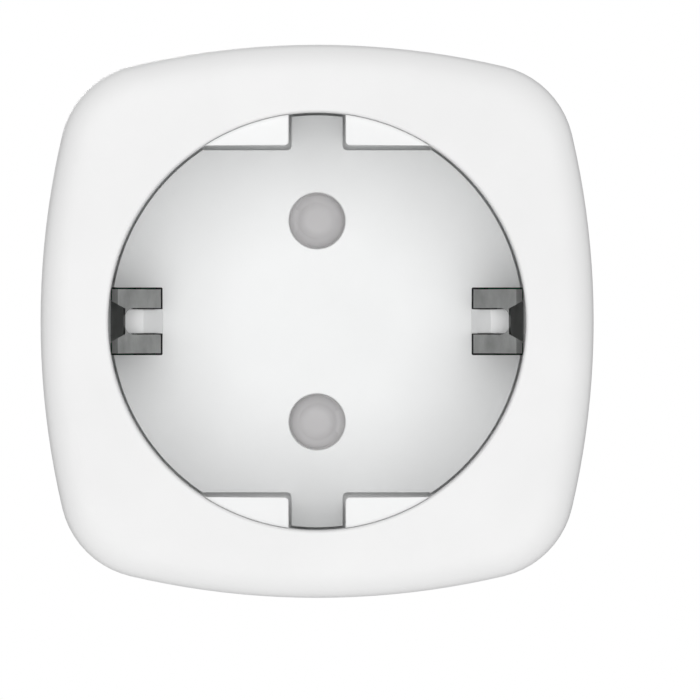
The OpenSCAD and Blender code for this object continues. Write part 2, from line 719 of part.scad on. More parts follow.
module board_header() place() color("black") {
    box([3, 13], [parts_y, parts_y + 1.6], [z_top, z_top + 1]);
    for (x = header_x) {
        post([x, parts_y + 0.8], 0.3, z_board - tail, z_top + 1.9);
        rod_y(x, z_top + 1.6, 0.3, board_y - 0.3, parts_y + 1.1);
    }
}

module_x = [-control_w / 2 + 0.5, -control_w / 2 + 9.5];
module_z = [z_top + 1, control_top - 1];

module wifi_module() place() color("darkslategray") box(module_x, [parts_y, parts_y + 0.8], module_z);
module wifi_shield() place() color("silver") difference() {
    box(module_x + [0.6, -0.6], [parts_y + 0.8, parts_y + 2.8], [module_z[0] + 0.6, module_z[1] - 4]);
    box(module_x + [0.8, -0.8], [parts_y, parts_y + 2.6], [module_z[0] + 0.8, module_z[1] - 4.2]);
}

module regulator() place() color("black") {
    box([6.5, 10], [parts_y, parts_y + 1.6], [button_z - 1, button_z + 5.5]);
    for (i = [0:2]) box([7.1 + 1.15 * i - 0.2, 7.1 + 1.15 * i + 0.2], [parts_y, parts_y + 0.3], [button_z - 2.2, button_z - 1 + eps]);
}

module status_led() place() color("white")
    box([-0.8, 0.8], [parts_y, parts_y + 0.7], [pipe_z - 0.5, pipe_z + 0.5]);

module light_pipe() place() color("azure") intersection() {
    union() {
        rod_y(0, pipe_z, pipe_r, parts_y + 0.9, body_w);
        rod_y(0, pipe_z, pipe_r + pipe_flange, pipe_y - 0.8, pipe_y);
    }
    body_prism(0, z_split, z_face);
}

module tact_switch() place() color("dimgray") difference() {
    box([-switch_size[0] / 2, switch_size[0] / 2], [parts_y, parts_y + switch_size[2]],
        [button_z - switch_size[1] / 2, button_z + switch_size[1] / 2]);
    rod_y(0, button_z, plunger_r + snug, parts_y + switch_size[2] - 1.2 - button_travel, parts_y + switch_size[2] + 1);
}

module switch_plunger() place() color("black")
    rod_y(0, button_z, plunger_r, parts_y + switch_size[2] - 1.2 + snug, plunger_top);

module power_button() place() color("white") {
    intersection() {
        rod_y(0, button_z, button_r, flange_y - eps, body_w);
        body_prism(0.1, z_split, z_face);
    }
    rod_y(0, button_z, button_r + button_flange, flange_y - 0.8, flange_y);
    rod_y(0, button_z, 1.5, plunger_top + 0.02, flange_y - 0.8 + eps);
}

front_shell();
socket_insert();
shutter();
shutter_spring();
contact_carrier();
carrier_screws();
line_contact();
neutral_contact();
earth_bracket();
rear_housing();
housing_screws();
line_pin();
neutral_pin();
earth_strip_left();
earth_strip_right();
earth_sleeve();
main_board();
relay();
transformer_core();
transformer_bobbin();
transformer_winding();
bulk_capacitors();
safety_capacitor();
varistor();
fuse_resistor();
filter_inductor();
current_shunt();
bridge_rectifier();
metering_chip();
control_board();
board_header();
wifi_module();
wifi_shield();
regulator();
status_led();
light_pipe();
tact_switch();
switch_plunger();
power_button();
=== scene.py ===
"""Looks of a smart plug: its shells, socket, metal parts and boards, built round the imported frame."""
import json
import math

import bmesh
import bpy
from bpy.props import FloatProperty, FloatVectorProperty, PointerProperty
from mathutils import Matrix, Vector


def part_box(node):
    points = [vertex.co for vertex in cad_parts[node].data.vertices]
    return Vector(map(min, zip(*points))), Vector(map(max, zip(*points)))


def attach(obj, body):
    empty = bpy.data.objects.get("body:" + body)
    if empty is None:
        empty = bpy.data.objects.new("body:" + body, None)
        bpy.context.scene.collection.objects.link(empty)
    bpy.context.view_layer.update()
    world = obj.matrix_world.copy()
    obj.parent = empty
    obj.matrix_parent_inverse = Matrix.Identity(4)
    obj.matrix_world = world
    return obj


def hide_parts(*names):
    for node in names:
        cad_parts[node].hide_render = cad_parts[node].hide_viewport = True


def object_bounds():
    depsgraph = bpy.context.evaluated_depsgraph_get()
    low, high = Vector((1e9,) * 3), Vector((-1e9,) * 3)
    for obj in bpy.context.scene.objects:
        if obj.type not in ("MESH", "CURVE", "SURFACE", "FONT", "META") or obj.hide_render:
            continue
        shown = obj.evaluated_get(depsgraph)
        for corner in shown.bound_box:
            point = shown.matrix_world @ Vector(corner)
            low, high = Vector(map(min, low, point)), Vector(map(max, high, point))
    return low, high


bl_info = {
    "name": "Smart Plug",
    "version": (1, 0, 0),
    "blender": (4, 5, 0),
    "location": "3D View > Sidebar > Smart Plug",
    "description": "Builds the looks of a smart plug round its packed frame",
    "category": "Object",
}

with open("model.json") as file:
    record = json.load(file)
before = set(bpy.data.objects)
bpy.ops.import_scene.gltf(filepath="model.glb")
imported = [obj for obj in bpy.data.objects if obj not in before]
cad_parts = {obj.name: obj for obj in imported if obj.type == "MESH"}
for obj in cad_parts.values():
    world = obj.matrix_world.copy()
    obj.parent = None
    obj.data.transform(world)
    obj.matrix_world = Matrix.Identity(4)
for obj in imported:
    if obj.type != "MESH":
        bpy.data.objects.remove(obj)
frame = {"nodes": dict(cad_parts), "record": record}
CAD_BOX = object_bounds()

MM = 0.001
TURN = 2 * math.pi
# Pieces are modelled in the plug's own axes, x right, y up and z out of the socket, then placed in the frame.
PLACE = Matrix.Rotation(math.pi / 2, 4, "X")
WELD = 1e-7
SHARP = 35  # degrees between faces from which an edge is shaded as an edge


def plug_box(node):
    """Lowest and highest corner of a CAD node, in the plug's own axes."""
    low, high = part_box(node)
    return Vector((low.x, low.z, -high.y)), Vector((high.x, high.z, -low.y))


def mount(name):
    """One mount of the record, by name."""
    return next(m for m in frame["record"]["mounts"] if m["name"] == name)


SHELL = plug_box("front_shell")
REAR = plug_box("rear_housing")
INSERT = plug_box("socket_insert")
SHUTTER = plug_box("shutter")
BUTTON = plug_box("power_button")
PIPE = plug_box("light_pipe")
BRACKET = plug_box("earth_bracket")
STRIP = plug_box("earth_strip_right")
SLEEVE = plug_box("earth_sleeve")
SCREWS = plug_box("housing_screws")
SMALL_SCREWS = plug_box("carrier_screws")
PLUNGER = plug_box("switch_plunger")

HALF = SHELL[1].x
FACE_Z = SHELL[1].z
SPLIT_Z = SHELL[0].z
PIN_Y = mount("plug_pins")["dims"]["pcd_mm"] * MM / 2
PIN_R = mount("plug_pins")["dims"]["stud_r_mm"] * MM
HOLE_R = mount("socket_pin_holes")["dims"]["hole_r_mm"] * MM
SEAT_Z = -mount("seating_face")["pos_m"][1]
FLOOR_Z = -mount("socket_pin_holes")["pos_m"][1]
UNDER_Z = INSERT[0].z
INSERT_TOP = FACE_Z - 2 * MM
RIB_TOP = INSERT[1].z
GAP_DEPTH = 1.2 * MM
EARTH_X = mount("earth_pin_hole")["pos_m"][0]
EARTH_R = mount("earth_pin_hole")["dims"]["r_mm"] * MM
BUTTON_R = (BUTTON[1].x - BUTTON[0].x) / 2 - 0.9 * MM
BUTTON_GAP = 0.15 * MM
PIPE_R = 1.0 * MM
SCREW_HEAD_R = 2.3 * MM
SCREW_AT = SCREWS[1].x - SCREW_HEAD_R  # distance of each corner screw from the axis, along x and y
BOSS_R = 2.8 * MM
SHOULDER_R = 3.2 * MM
PILOT_R = 1.05 * MM

# Points on the body's outline: each side's arc and each corner's arc
SIDE_STEPS = 20
CORNER_STEPS = 10
RING_COUNT = 4 * (SIDE_STEPS + CORNER_STEPS)

UPWARDS = Matrix.Rotation(-math.pi / 2, 4, "X")
QUARTERS = [Matrix.Diagonal((sx, sy, 1, 1)) for sx in (-1, 1) for sy in (-1, 1)]


def length(name, description, default):
    return FloatProperty(name=name, description=description, default=default, unit="LENGTH", precision=5)


def colour(name, description, default):
    return FloatVectorProperty(
        name=name, description=description, default=default, subtype="COLOR", size=3, min=0, max=1
    )


class PlugSizes(bpy.types.PropertyGroup):
    side_radius: length("Side radius", "Radius of the bulge of each side", 0.076)
    corner_radius: length("Corner radius", "Radius of the body's corners", 0.0085)
    wall: length("Wall", "Wall thickness of both shells", 0.002)
    edge_width: length("Front edge width", "Width of the soft edge round the front face", 0.0034)
    edge_height: length("Front edge depth", "Depth of the soft edge round the front face", 0.0018)
    rear_edge: length("Rear edge", "Radius of the edge round the seating face", 0.0014)
    seam: length("Seam", "Depth of the bevel at the parting line", 0.00028)
    well_radius: length("Recess radius", "Radius of the socket's recess", 0.0195)
    well_wall: length("Recess wall", "Thickness of the recess wall", 0.0016)
    rim_radius: length("Rim radius", "Rounding of the rim of the recess", 0.0003)
    floor_gap: length("Floor gap", "Width of the parting gap round the recess floor", 0.00024)
    rib_y: length("Rib height", "Distance of the guide ribs from the axis", 0.0164)
    rib_slot: length("Rib slot", "Width of the key slot through the guide ribs", 0.0053)
    draft: length("Draft", "How far the recess's walls and ribs lean back at their foot", 0.0002)
    window_x: length("Window start", "Distance of the earth windows from the axis", 0.0146)
    window_width: length("Window width", "Width of each earth window", 0.0064)
    tongue_width: length("Tongue width", "Width of the rib between a clip's prongs", 0.0023)
    metal: length("Sheet", "Thickness of the earth bracket", 0.0006)
    neck_radius: length("Neck radius", "Radius of the plug's neck", 0.019)
    flat_y: length("Neck flat", "Distance of the neck's flats from the axis", 0.0161)
    key_width: length("Key width", "Width of the neck's key ribs", 0.0048)


class PlugFinish(bpy.types.PropertyGroup):
    shell: colour("Shell", "White of the shells and the button", (0.82, 0.82, 0.82))
    insert: colour("Insert", "White of the socket insert", (0.84, 0.845, 0.845))
    # The shutter is white plastic like the insert; this pale grey is painted shade of the pin holes it sits
    # behind
    shutter: colour("Shutter", "Pale grey of the shutter", (0.5, 0.49, 0.495))
    nickel: colour("Nickel", "Dark nickel of the earth clips", (0.27, 0.275, 0.27))
    bright: colour("Bright metal", "Nickel-plated pins and screws", (0.72, 0.71, 0.68))
    copper: colour("Copper alloy", "Contacts and shunt", (0.72, 0.42, 0.24))
    board: colour("Solder mask", "Green of the boards", (0.012, 0.12, 0.05))


# ---------------------------------------------------------------- shapes


def block(x, y, z):
    """A box between two bounds on each axis."""
    bm = bmesh.new()
    size = (x[1] - x[0], y[1] - y[0], z[1] - z[0], 1)
    middle = ((x[0] + x[1]) / 2, (y[0] + y[1]) / 2, (z[0] + z[1]) / 2)
    bmesh.ops.create_cube(bm, size=1, matrix=Matrix.Translation(middle) @ Matrix.Diagonal(size))
    return bm


def lathe(profile, at=(0, 0, 0), turn=None, steps=96):
    """A solid of revolution from an outline of (radius, height) points, closed or from axis to axis."""
    bm = bmesh.new()
    verts = [bm.verts.new((r, 0, h)) for r, h in profile]
    edges = [bm.edges.new(pair) for pair in zip(verts, verts[1:])]
    if profile[0][0] > 0:
        edges.append(bm.edges.new((verts[-1], verts[0])))
    bmesh.ops.spin(
        bm, geom=verts + edges, cent=(0, 0, 0), axis=(0, 0, 1), angle=TURN, steps=steps, use_merge=True
    )
    bmesh.ops.remove_doubles(bm, verts=bm.verts, dist=WELD)
    bmesh.ops.recalc_face_normals(bm, faces=bm.faces)
    move = Matrix.Translation(at) @ (turn.to_4x4() if turn else Matrix())
    bm.transform(move)
    return bm


def rod(r, z0, z1, at=(0, 0), steps=48):
    """A plain cylinder along z."""
    return lathe([(0, z0), (r, z0), (r, z1), (0, z1)], (at[0], at[1], 0), steps=steps)


def corner(centre, r, start, end, steps=6):
    """Points of an arc in an outline, from one angle to another in degrees."""
    angles = [math.radians(start + (end - start) * i / steps) for i in range(steps + 1)]
    return [(centre[0] + r * math.cos(a), centre[1] + r * math.sin(a)) for a in angles]


def prism(points, depth, axis="Z", at=0.0):
    """A prism from a flat outline: its points are (x, y), or (x, z) when the axis is Y, centred on at."""
    bm = bmesh.new()
    if axis == "Y":
        verts = [bm.verts.new((x, at - depth / 2, z)) for x, z in points]
        step = (0, depth, 0)
    else:
        verts = [bm.verts.new((x, y, at)) for x, y in points]
        step = (0, 0, depth)
    face = bm.faces.new(verts)
    made = bmesh.ops.extrude_face_region(bm, geom=[face])
    moved = [g for g in made["geom"] if isinstance(g, bmesh.types.BMVert)]
    bmesh.ops.translate(bm, verts=moved, vec=step)
    bmesh.ops.recalc_face_normals(bm, faces=bm.faces)
    return bm


def merged(*parts):
    """All the parts in one mesh, none of them joined."""
    bm = bmesh.new()
    for part in parts:
        mesh = bpy.data.meshes.new("part")
        part.to_mesh(mesh)
        part.free()
        bm.from_mesh(mesh)
        bpy.data.meshes.remove(mesh)
    return bm


def copies(part, matrices):
    """One copy of a part for each matrix."""
    made = []
    for matrix in matrices:
        one = part.copy()
        one.transform(matrix)
        if matrix.determinant() < 0:
            bmesh.ops.reverse_faces(one, faces=one.faces)
        made.append(one)
    part.free()
    return merged(*made)


def both_ends(part):
    """The part and its copy turned by half a turn about the axis."""
    return copies(part, [Matrix(), Matrix.Rotation(math.pi, 4, "Z")])


def four_corners(part, at):
    """A part at the body's four corners."""
    return copies(part, [Matrix.Translation((sx * at, sy * at, 0)) for sx in (-1, 1) for sy in (-1, 1)])


def bevel(bm, edges, width, segments, slide=False):
    """Rounds the given edges."""
    bmesh.ops.bevel(
        bm, geom=edges, offset=width, offset_type="OFFSET", segments=segments, profile=0.5,
        affect="EDGES", clamp_overlap=False, material=-1, loop_slide=slide,
    )


def soften(bm, width, angle=40, segments=2, keep=None):
    """Rounds the edges sharper than an angle."""
    limit = math.radians(angle)
    edges = [e for e in bm.edges if e.is_manifold and e.calc_face_angle(0) > limit and (not keep or keep(e))]
    bevel(bm, edges, width, segments, slide=True)
    return bm


def is_upright(edge):
    """True for an edge that runs along the socket's axis."""
    return abs(edge.verts[0].co.z - edge.verts[1].co.z) > 1 * MM


# ---------------------------------------------------------------- pieces


def in_order(bm):
    """Sorts a mesh's points, edges and faces by place, so that each run carves the same mesh."""
    place = {v: tuple(round(c, 7) for c in v.co) for v in bm.verts}
    for elements in (bm.verts, bm.edges, bm.faces):
        ranked = sorted(elements, key=lambda e: sorted(place[v] for v in getattr(e, "verts", [e])))
        rank = {element: i for i, element in enumerate(ranked)}
        elements.sort(key=rank.get)


def as_object(name, bm):
    """A new object that holds a mesh, still in the plug's own axes."""
    in_order(bm)
    mesh = bpy.data.meshes.new(name)
    bm.to_mesh(mesh)
    bm.free()
    piece = bpy.data.objects.new(name, mesh)
    bpy.context.scene.collection.objects.link(piece)
    return piece


def carve(bm, steps):
    """Joins, cuts or keeps the overlap of a solid with others, in order: [(operation, solid), ...]."""
    piece = as_object("carved", bm)
    for operation, other in steps:
        tool = as_object("tool", other)
        change = piece.modifiers.new("carve", "BOOLEAN")
        change.operation = operation
        change.object = tool
        change.solver = "EXACT"
        depsgraph = bpy.context.evaluated_depsgraph_get()
        mesh = bpy.data.meshes.new_from_object(piece.evaluated_get(depsgraph))
        piece.modifiers.clear()
        old, piece.data = piece.data, mesh
        bpy.data.meshes.remove(old)
        tool_mesh = tool.data
        bpy.data.objects.remove(tool)
        bpy.data.meshes.remove(tool_mesh)
    result = bmesh.new()
    result.from_mesh(piece.data)
    mesh = piece.data
    bpy.data.objects.remove(piece)
    bpy.data.meshes.remove(mesh)
    bmesh.ops.remove_doubles(result, verts=result.verts, dist=2e-6)
    bmesh.ops.dissolve_limit(result, angle_limit=math.radians(0.4), verts=result.verts, edges=result.edges)
    if not result.faces:
        raise RuntimeError("a carved piece came out empty")
    return result


def make_piece(name, bm, material, nodes, body="housing"):
    """Places a finished mesh in the frame as a piece that stands for CAD nodes."""
    bm.transform(PLACE)
    piece = as_object(name, bm)
    mesh = piece.data
    mesh.polygons.foreach_set("use_smooth", [True] * len(mesh.polygons))
    mesh.set_sharp_from_angle(angle=math.radians(SHARP))
    even = piece.modifiers.new("even_shading", "WEIGHTED_NORMAL")
    even.keep_sharp = True
    mesh.materials.append(material)
    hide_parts(*nodes)
    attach(piece, body)
    return piece


def softened_node(node, width, material):
    """A copy of a CAD node with its sharp edges rounded."""
    bm = bmesh.new()
    bm.from_mesh(frame["nodes"][node].data)
    bmesh.ops.remove_doubles(bm, verts=bm.verts, dist=2e-6)
    bmesh.ops.dissolve_limit(bm, angle_limit=math.radians(1), verts=bm.verts, edges=bm.edges)
    soften(bm, width)
    bm.transform(PLACE.inverted())
    return make_piece(node + "_body", bm, material, [node])


# ---------------------------------------------------------------- materials


def group(name, inputs, outputs):
    """A new shader node group with named inputs (name, type, default) and outputs (name, type)."""
    tree = bpy.data.node_groups.new(name, "ShaderNodeTree")
    for label, kind, default in inputs:
        socket = tree.interface.new_socket(label, in_out="INPUT", socket_type=kind)
        if default is not None:
            socket.default_value = default
    for label, kind in outputs:
        tree.interface.new_socket(label, in_out="OUTPUT", socket_type=kind)
    return tree, tree.nodes.new("NodeGroupInput"), tree.nodes.new("NodeGroupOutput")


def link(tree, source, target):
    tree.links.new(source, target)


def noise(tree, vector, scale, detail=2.0, rough=0.5):
    """A noise texture; its scale is a number or a socket."""
    node = tree.nodes.new("ShaderNodeTexNoise")
    node.inputs["Detail"].default_value = detail
    node.inputs["Roughness"].default_value = rough
    if isinstance(scale, (int, float)):
        node.inputs["Scale"].default_value = scale
    else:
        link(tree, scale, node.inputs["Scale"])
    link(tree, vector, node.inputs["Vector"])
    return node.outputs["Fac"]


def stretch(tree, value, low, high, to_low, to_high):
    """Maps a value's range to another."""
    node = tree.nodes.new("ShaderNodeMapRange")
    node.inputs["From Min"].default_value = low
    node.inputs["From Max"].default_value = high
    node.inputs["To Min"].default_value = to_low
    node.inputs["To Max"].default_value = to_high
    link(tree, value, node.inputs["Value"])
    return node.outputs["Result"]


def blend_colour(tree, mask, first, second):
    """A mix of two colours by a mask; each colour is a value or a socket."""
    node = tree.nodes.new("ShaderNodeMix")
    node.data_type = "RGBA"
    link(tree, mask, node.inputs[0])
    for socket, value in ((node.inputs[6], first), (node.inputs[7], second)):
        if isinstance(value, bpy.types.NodeSocket):
            link(tree, value, socket)
        else:
            socket.default_value = (*value, 1)
    return node.outputs[2]


def scaled(tree, vector, scale):
    """Coordinates with a scale of their own on each axis."""
    node = tree.nodes.new("ShaderNodeMapping")
    node.inputs["Scale"].default_value = scale
    link(tree, vector, node.inputs["Vector"])
    return node.outputs["Vector"]


def moulded_skin():
    """Fine spark-eroded grain, and slow mottling of the gloss, of a moulded plastic surface."""
    if "Moulded Skin" in bpy.data.node_groups:
        return bpy.data.node_groups["Moulded Skin"]
    inputs = [
        ("Vector", "NodeSocketVector", None),
        ("Grain Scale", "NodeSocketFloat", 5200.0),
        ("Mottle Scale", "NodeSocketFloat", 90.0),
    ]
    tree, entry, result = group(
        "Moulded Skin", inputs, [("Height", "NodeSocketFloat"), ("Mottle", "NodeSocketFloat")]
    )
    vector = entry.outputs["Vector"]
    fine = noise(tree, vector, entry.outputs["Grain Scale"], 3.0, 0.6)
    slow = noise(tree, vector, entry.outputs["Mottle Scale"], 4.0, 0.55)
    link(tree, fine, result.inputs["Height"])
    link(tree, stretch(tree, slow, 0.3, 0.7, 0.0, 1.0), result.inputs["Mottle"])
    return tree


def worked_metal():
    """Rolling lines along one axis and soft stains of a plated metal surface."""
    if "Worked Metal" in bpy.data.node_groups:
        return bpy.data.node_groups["Worked Metal"]
    inputs = [
        ("Vector", "NodeSocketVector", None),
        ("Line Scale", "NodeSocketFloat", 900.0),
        ("Stain Scale", "NodeSocketFloat", 260.0),
    ]
    tree, entry, result = group(
        "Worked Metal", inputs, [("Height", "NodeSocketFloat"), ("Stain", "NodeSocketFloat")]
    )
    drawn = scaled(tree, entry.outputs["Vector"], (1.0, 0.04, 6.0))
    lines = noise(tree, drawn, entry.outputs["Line Scale"], 3.0, 0.7)
    stains = noise(tree, entry.outputs["Vector"], entry.outputs["Stain Scale"], 5.0, 0.6)
    link(tree, lines, result.inputs["Height"])
    link(tree, stretch(tree, stains, 0.35, 0.68, 0.0, 1.0), result.inputs["Stain"])
    return tree


class Finish:
    """A material with one Principled shader and the sockets that its patterns feed."""

    def __init__(self, name):
        self.material = bpy.data.materials.new(name)
        self.material.use_nodes = True
        self.tree = self.material.node_tree
        self.tree.nodes.clear()
        self.shader = self.tree.nodes.new("ShaderNodeBsdfPrincipled")
        output = self.tree.nodes.new("ShaderNodeOutputMaterial")
        link(self.tree, self.shader.outputs["BSDF"], output.inputs["Surface"])
        self.vector = self.tree.nodes.new("ShaderNodeTexCoord").outputs["Object"]

    def set(self, **values):
        for label, value in values.items():
            self.shader.inputs[label.replace("_", " ")].default_value = value

    def feed(self, socket, source):
        link(self.tree, source, self.shader.inputs[socket])

    def pattern(self, tree, **values):
        node = self.tree.nodes.new("ShaderNodeGroup")
        node.node_tree = tree
        link(self.tree, self.vector, node.inputs["Vector"])
        for label, value in values.items():
            node.inputs[label.replace("_", " ")].default_value = value
        return node.outputs

    def bump(self, height, strength, distance):
        node = self.tree.nodes.new("ShaderNodeBump")
        node.inputs["Strength"].default_value = strength
        node.inputs["Distance"].default_value = distance
        link(self.tree, height, node.inputs["Height"])
        self.feed("Normal", node.outputs["Normal"])


def darker(base, share):
    return tuple(c * (1 - share) for c in base)


def plastic(name, base, rough=(0.42, 0.52), grain=5200.0, depth=0.12, tone=0.025, coat=0.0, fades=False):
    """Moulded plastic: fine grain, and a gloss and a tone that drift a little. Its gloss can fade edge-on."""
    if name in bpy.data.materials:
        return bpy.data.materials[name]
    finish = Finish(name)
    skin = finish.pattern(moulded_skin(), Grain_Scale=grain)
    toned = blend_colour(finish.tree, skin["Mottle"], base, darker(base, tone))
    gloss = stretch(finish.tree, skin["Mottle"], 0, 1, *rough)
    if fades:
        view = finish.tree.nodes.new("ShaderNodeLayerWeight")
        view.inputs["Blend"].default_value = 0.5
        mask = stretch(finish.tree, view.outputs["Facing"], 0.93, 0.98, 0, 1)
        dull = finish.tree.nodes.new("ShaderNodeMath")
        dull.operation = "MAXIMUM"
        link(finish.tree, gloss, dull.inputs[0])
        link(finish.tree, mask, dull.inputs[1])
        gloss = dull.outputs[0]
    finish.feed("Base Color", toned)
    finish.feed("Roughness", gloss)
    finish.bump(skin["Height"], depth, 0.02 * MM)
    finish.set(IOR=1.49, Coat_Weight=coat, Coat_Roughness=0.2)
    return finish.material


def metal(name, base, rough=(0.24, 0.4), lines=900.0, depth=0.25, stain=0.25):
    """Plated or rolled metal: rolling lines, and stains that dull and darken it."""
    if name in bpy.data.materials:
        return bpy.data.materials[name]
    finish = Finish(name)
    face = finish.pattern(worked_metal(), Line_Scale=lines)
    finish.feed("Base Color", blend_colour(finish.tree, face["Stain"], base, darker(base, stain)))
    finish.feed("Roughness", stretch(finish.tree, face["Stain"], 0, 1, *rough))
    finish.bump(face["Height"], depth, 0.01 * MM)
    finish.set(Metallic=1.0)
    return finish.material


def circuit_board(name, base, track_scale=420.0):
    """Solder mask over copper: square-cornered tracks show through it as a lighter, raised tone."""
    if name in bpy.data.materials:
        return bpy.data.materials[name]
    finish = Finish(name)
    tree = finish.tree
    cells = tree.nodes.new("ShaderNodeTexVoronoi")
    cells.distance = "CHEBYCHEV"
    cells.feature = "F1"
    cells.inputs["Scale"].default_value = track_scale
    cells.inputs["Randomness"].default_value = 0.75
    link(tree, finish.vector, cells.inputs["Vector"])
    tracks = stretch(tree, cells.outputs["Distance"], 0.34, 0.38, 0.0, 1.0)
    light = tuple(min(1.0, c * 2.2 + 0.01) for c in base)
    skin = finish.pattern(moulded_skin(), Grain_Scale=3000.0)
    toned = blend_colour(tree, skin["Mottle"], base, darker(base, 0.2))
    finish.feed("Base Color", blend_colour(tree, tracks, light, toned))
    finish.feed("Roughness", stretch(tree, skin["Mottle"], 0, 1, 0.22, 0.34))
    finish.bump(tracks, 0.4, 0.03 * MM)
    finish.set(Coat_Weight=0.3, Coat_Roughness=0.15)
    return finish.material


def wound_coil(name, base):
    """Turns of wire under a layer of tape."""
    if name in bpy.data.materials:
        return bpy.data.materials[name]
    finish = Finish(name)
    turns = finish.tree.nodes.new("ShaderNodeTexWave")
    turns.bands_direction = "Y"
    turns.inputs["Scale"].default_value = 620.0
    turns.inputs["Distortion"].default_value = 0.6
    link(finish.tree, finish.vector, turns.inputs["Vector"])
    finish.feed("Base Color", blend_colour(finish.tree, turns.outputs["Fac"], darker(base, 0.35), base))
    finish.bump(turns.outputs["Fac"], 0.6, 0.08 * MM)
    skin = finish.pattern(moulded_skin(), Grain_Scale=2500.0)
    finish.feed("Roughness", stretch(finish.tree, skin["Mottle"], 0, 1, 0.3, 0.45))
    return finish.material


def clear_plastic(name):
    """Slightly frosted clear plastic."""
    if name in bpy.data.materials:
        return bpy.data.materials[name]
    finish = Finish(name)
    skin = finish.pattern(moulded_skin(), Grain_Scale=3800.0)
    tint = (0.94, 0.96, 0.97)
    finish.feed("Base Color", blend_colour(finish.tree, skin["Mottle"], tint, darker(tint, 0.04)))
    finish.feed("Roughness", stretch(finish.tree, skin["Mottle"], 0, 1, 0.22, 0.36))
    finish.bump(skin["Height"], 0.15, 0.02 * MM)
    finish.set(IOR=1.49, Transmission_Weight=0.75)
    return finish.material


def shell_plastic():
    return plastic("white_shell_plastic", tuple(bpy.context.scene.plug_finish.shell), fades=True)


def insert_plastic():
    return plastic(
        "white_socket_plastic", tuple(bpy.context.scene.plug_finish.insert), rough=(0.46, 0.56), depth=0.07,
        fades=True
    )


def dark_nickel():
    return metal("dark_nickel", tuple(bpy.context.scene.plug_finish.nickel), rough=(0.3, 0.44))


def bright_nickel():
    return metal("bright_nickel", tuple(bpy.context.scene.plug_finish.bright), rough=(0.16, 0.3), stain=0.12)


def copper_alloy():
    return metal("copper_alloy", tuple(bpy.context.scene.plug_finish.copper), rough=(0.2, 0.36), stain=0.2)


def carrier_plastic():
    return plastic("dark_carrier_plastic", (0.035, 0.035, 0.038), rough=(0.42, 0.55), depth=0.2)


def green_board():
    return circuit_board("green_board", tuple(bpy.context.scene.plug_finish.board))


def grey_ferrite():
    return plastic("grey_ferrite", (0.03, 0.03, 0.034), rough=(0.4, 0.55), grain=2600.0, depth=0.4)


def chip_epoxy():
    return plastic("black_chip_epoxy", (0.014, 0.014, 0.015), rough=(0.42, 0.55), depth=0.3)


def switch_plastic():
    return plastic("dark_switch_plastic", (0.02, 0.02, 0.022), rough=(0.3, 0.42))


# ---------------------------------------------------------------- the body's outline


def outline_ring(bm, sizes, inset, z):
    """One closed ring of the body's outline: four bulged sides, each running into two corner arcs."""
    side_c = HALF - sizes.side_radius
    reach = sizes.side_radius - sizes.corner_radius
    corner_c = (side_c + math.sqrt(2 * reach**2 - side_c**2)) / 2
    tangent = math.atan2(corner_c, corner_c - side_c)
    old = set(bm.verts)
    r = sizes.side_radius - inset
    start = bm.verts.new((side_c + r * math.cos(tangent), -r * math.sin(tangent), z))
    up = (0, 0, 1)
    swung = bmesh.ops.spin(
        bm, geom=[start], cent=(side_c, 0, z), axis=up, angle=2 * tangent, steps=SIDE_STEPS
    )
    end = [g for g in swung["geom_last"] if isinstance(g, bmesh.types.BMVert)]
    bmesh.ops.spin(
        bm, geom=end, cent=(corner_c, corner_c, z), axis=up, angle=math.pi / 2 - 2 * tangent,
        steps=CORNER_STEPS,
    )
    new = [v for v in bm.verts if v not in old]
    edges = list({e for v in new for e in v.link_edges})
    bmesh.ops.spin(
        bm, geom=new + edges, cent=(0, 0, z), axis=up, angle=1.5 * math.pi, steps=3, use_duplicate=True
    )
    new = [v for v in bm.verts if v not in old]
    bmesh.ops.remove_doubles(bm, verts=new, dist=WELD)
    new = [v for v in bm.verts if v not in old]
    return list({e for v in new for e in v.link_edges})


def round_ring(bm, r, z):
    """One closed ring of a circle, with as many points as the body's outline."""
    made = bmesh.ops.create_circle(
        bm, segments=RING_COUNT, radius=r, cap_ends=False,
        matrix=Matrix.Translation((0, 0, z)) @ Matrix.Rotation(-math.pi / 8, 4, "Z"),
    )
    return list({e for v in made["verts"] for e in v.link_edges})


def skin(sizes, rings, ends="joined"):
    """A surface through rings (kind, inset or radius, z). Its ends are joined, capped or left open."""
    pairs = list(zip(rings, rings[1:])) + ([(rings[-1], rings[0])] if ends == "joined" else [])
    bands = []
    for pair in pairs:
        band = bmesh.new()
        edges = []
        for kind, size, z in pair:
            edges += outline_ring(band, sizes, size, z) if kind == "body" else round_ring(band, size, z)
        bmesh.ops.bridge_loops(band, edges=edges)
        bands.append(band)
    bm = merged(*bands)
    bmesh.ops.remove_doubles(bm, verts=bm.verts, dist=WELD)
    if ends == "capped":
        bmesh.ops.holes_fill(bm, edges=[e for e in bm.edges if e.is_boundary])
    bmesh.ops.recalc_face_normals(bm, faces=bm.faces)
    return bm


def edge_steps(width, depth, count=7):
    """Insets and drops along a quarter of an ellipse, from the side to the face."""
    angles = [math.pi / 2 * i / count for i in range(count + 1)]
    return [(width * (1 - math.cos(a)), depth * (1 - math.sin(a))) for a in angles]


def round_edge(r, z, rounding, count=4):
    """Rings of a rim that turns from the front face down into a hole."""
    angles = [math.pi / 2 * i / count for i in range(count + 1)]
    return [(r + rounding * (1 - math.sin(a)), z - rounding * (1 - math.cos(a))) for a in angles]


# ---------------------------------------------------------------- operators


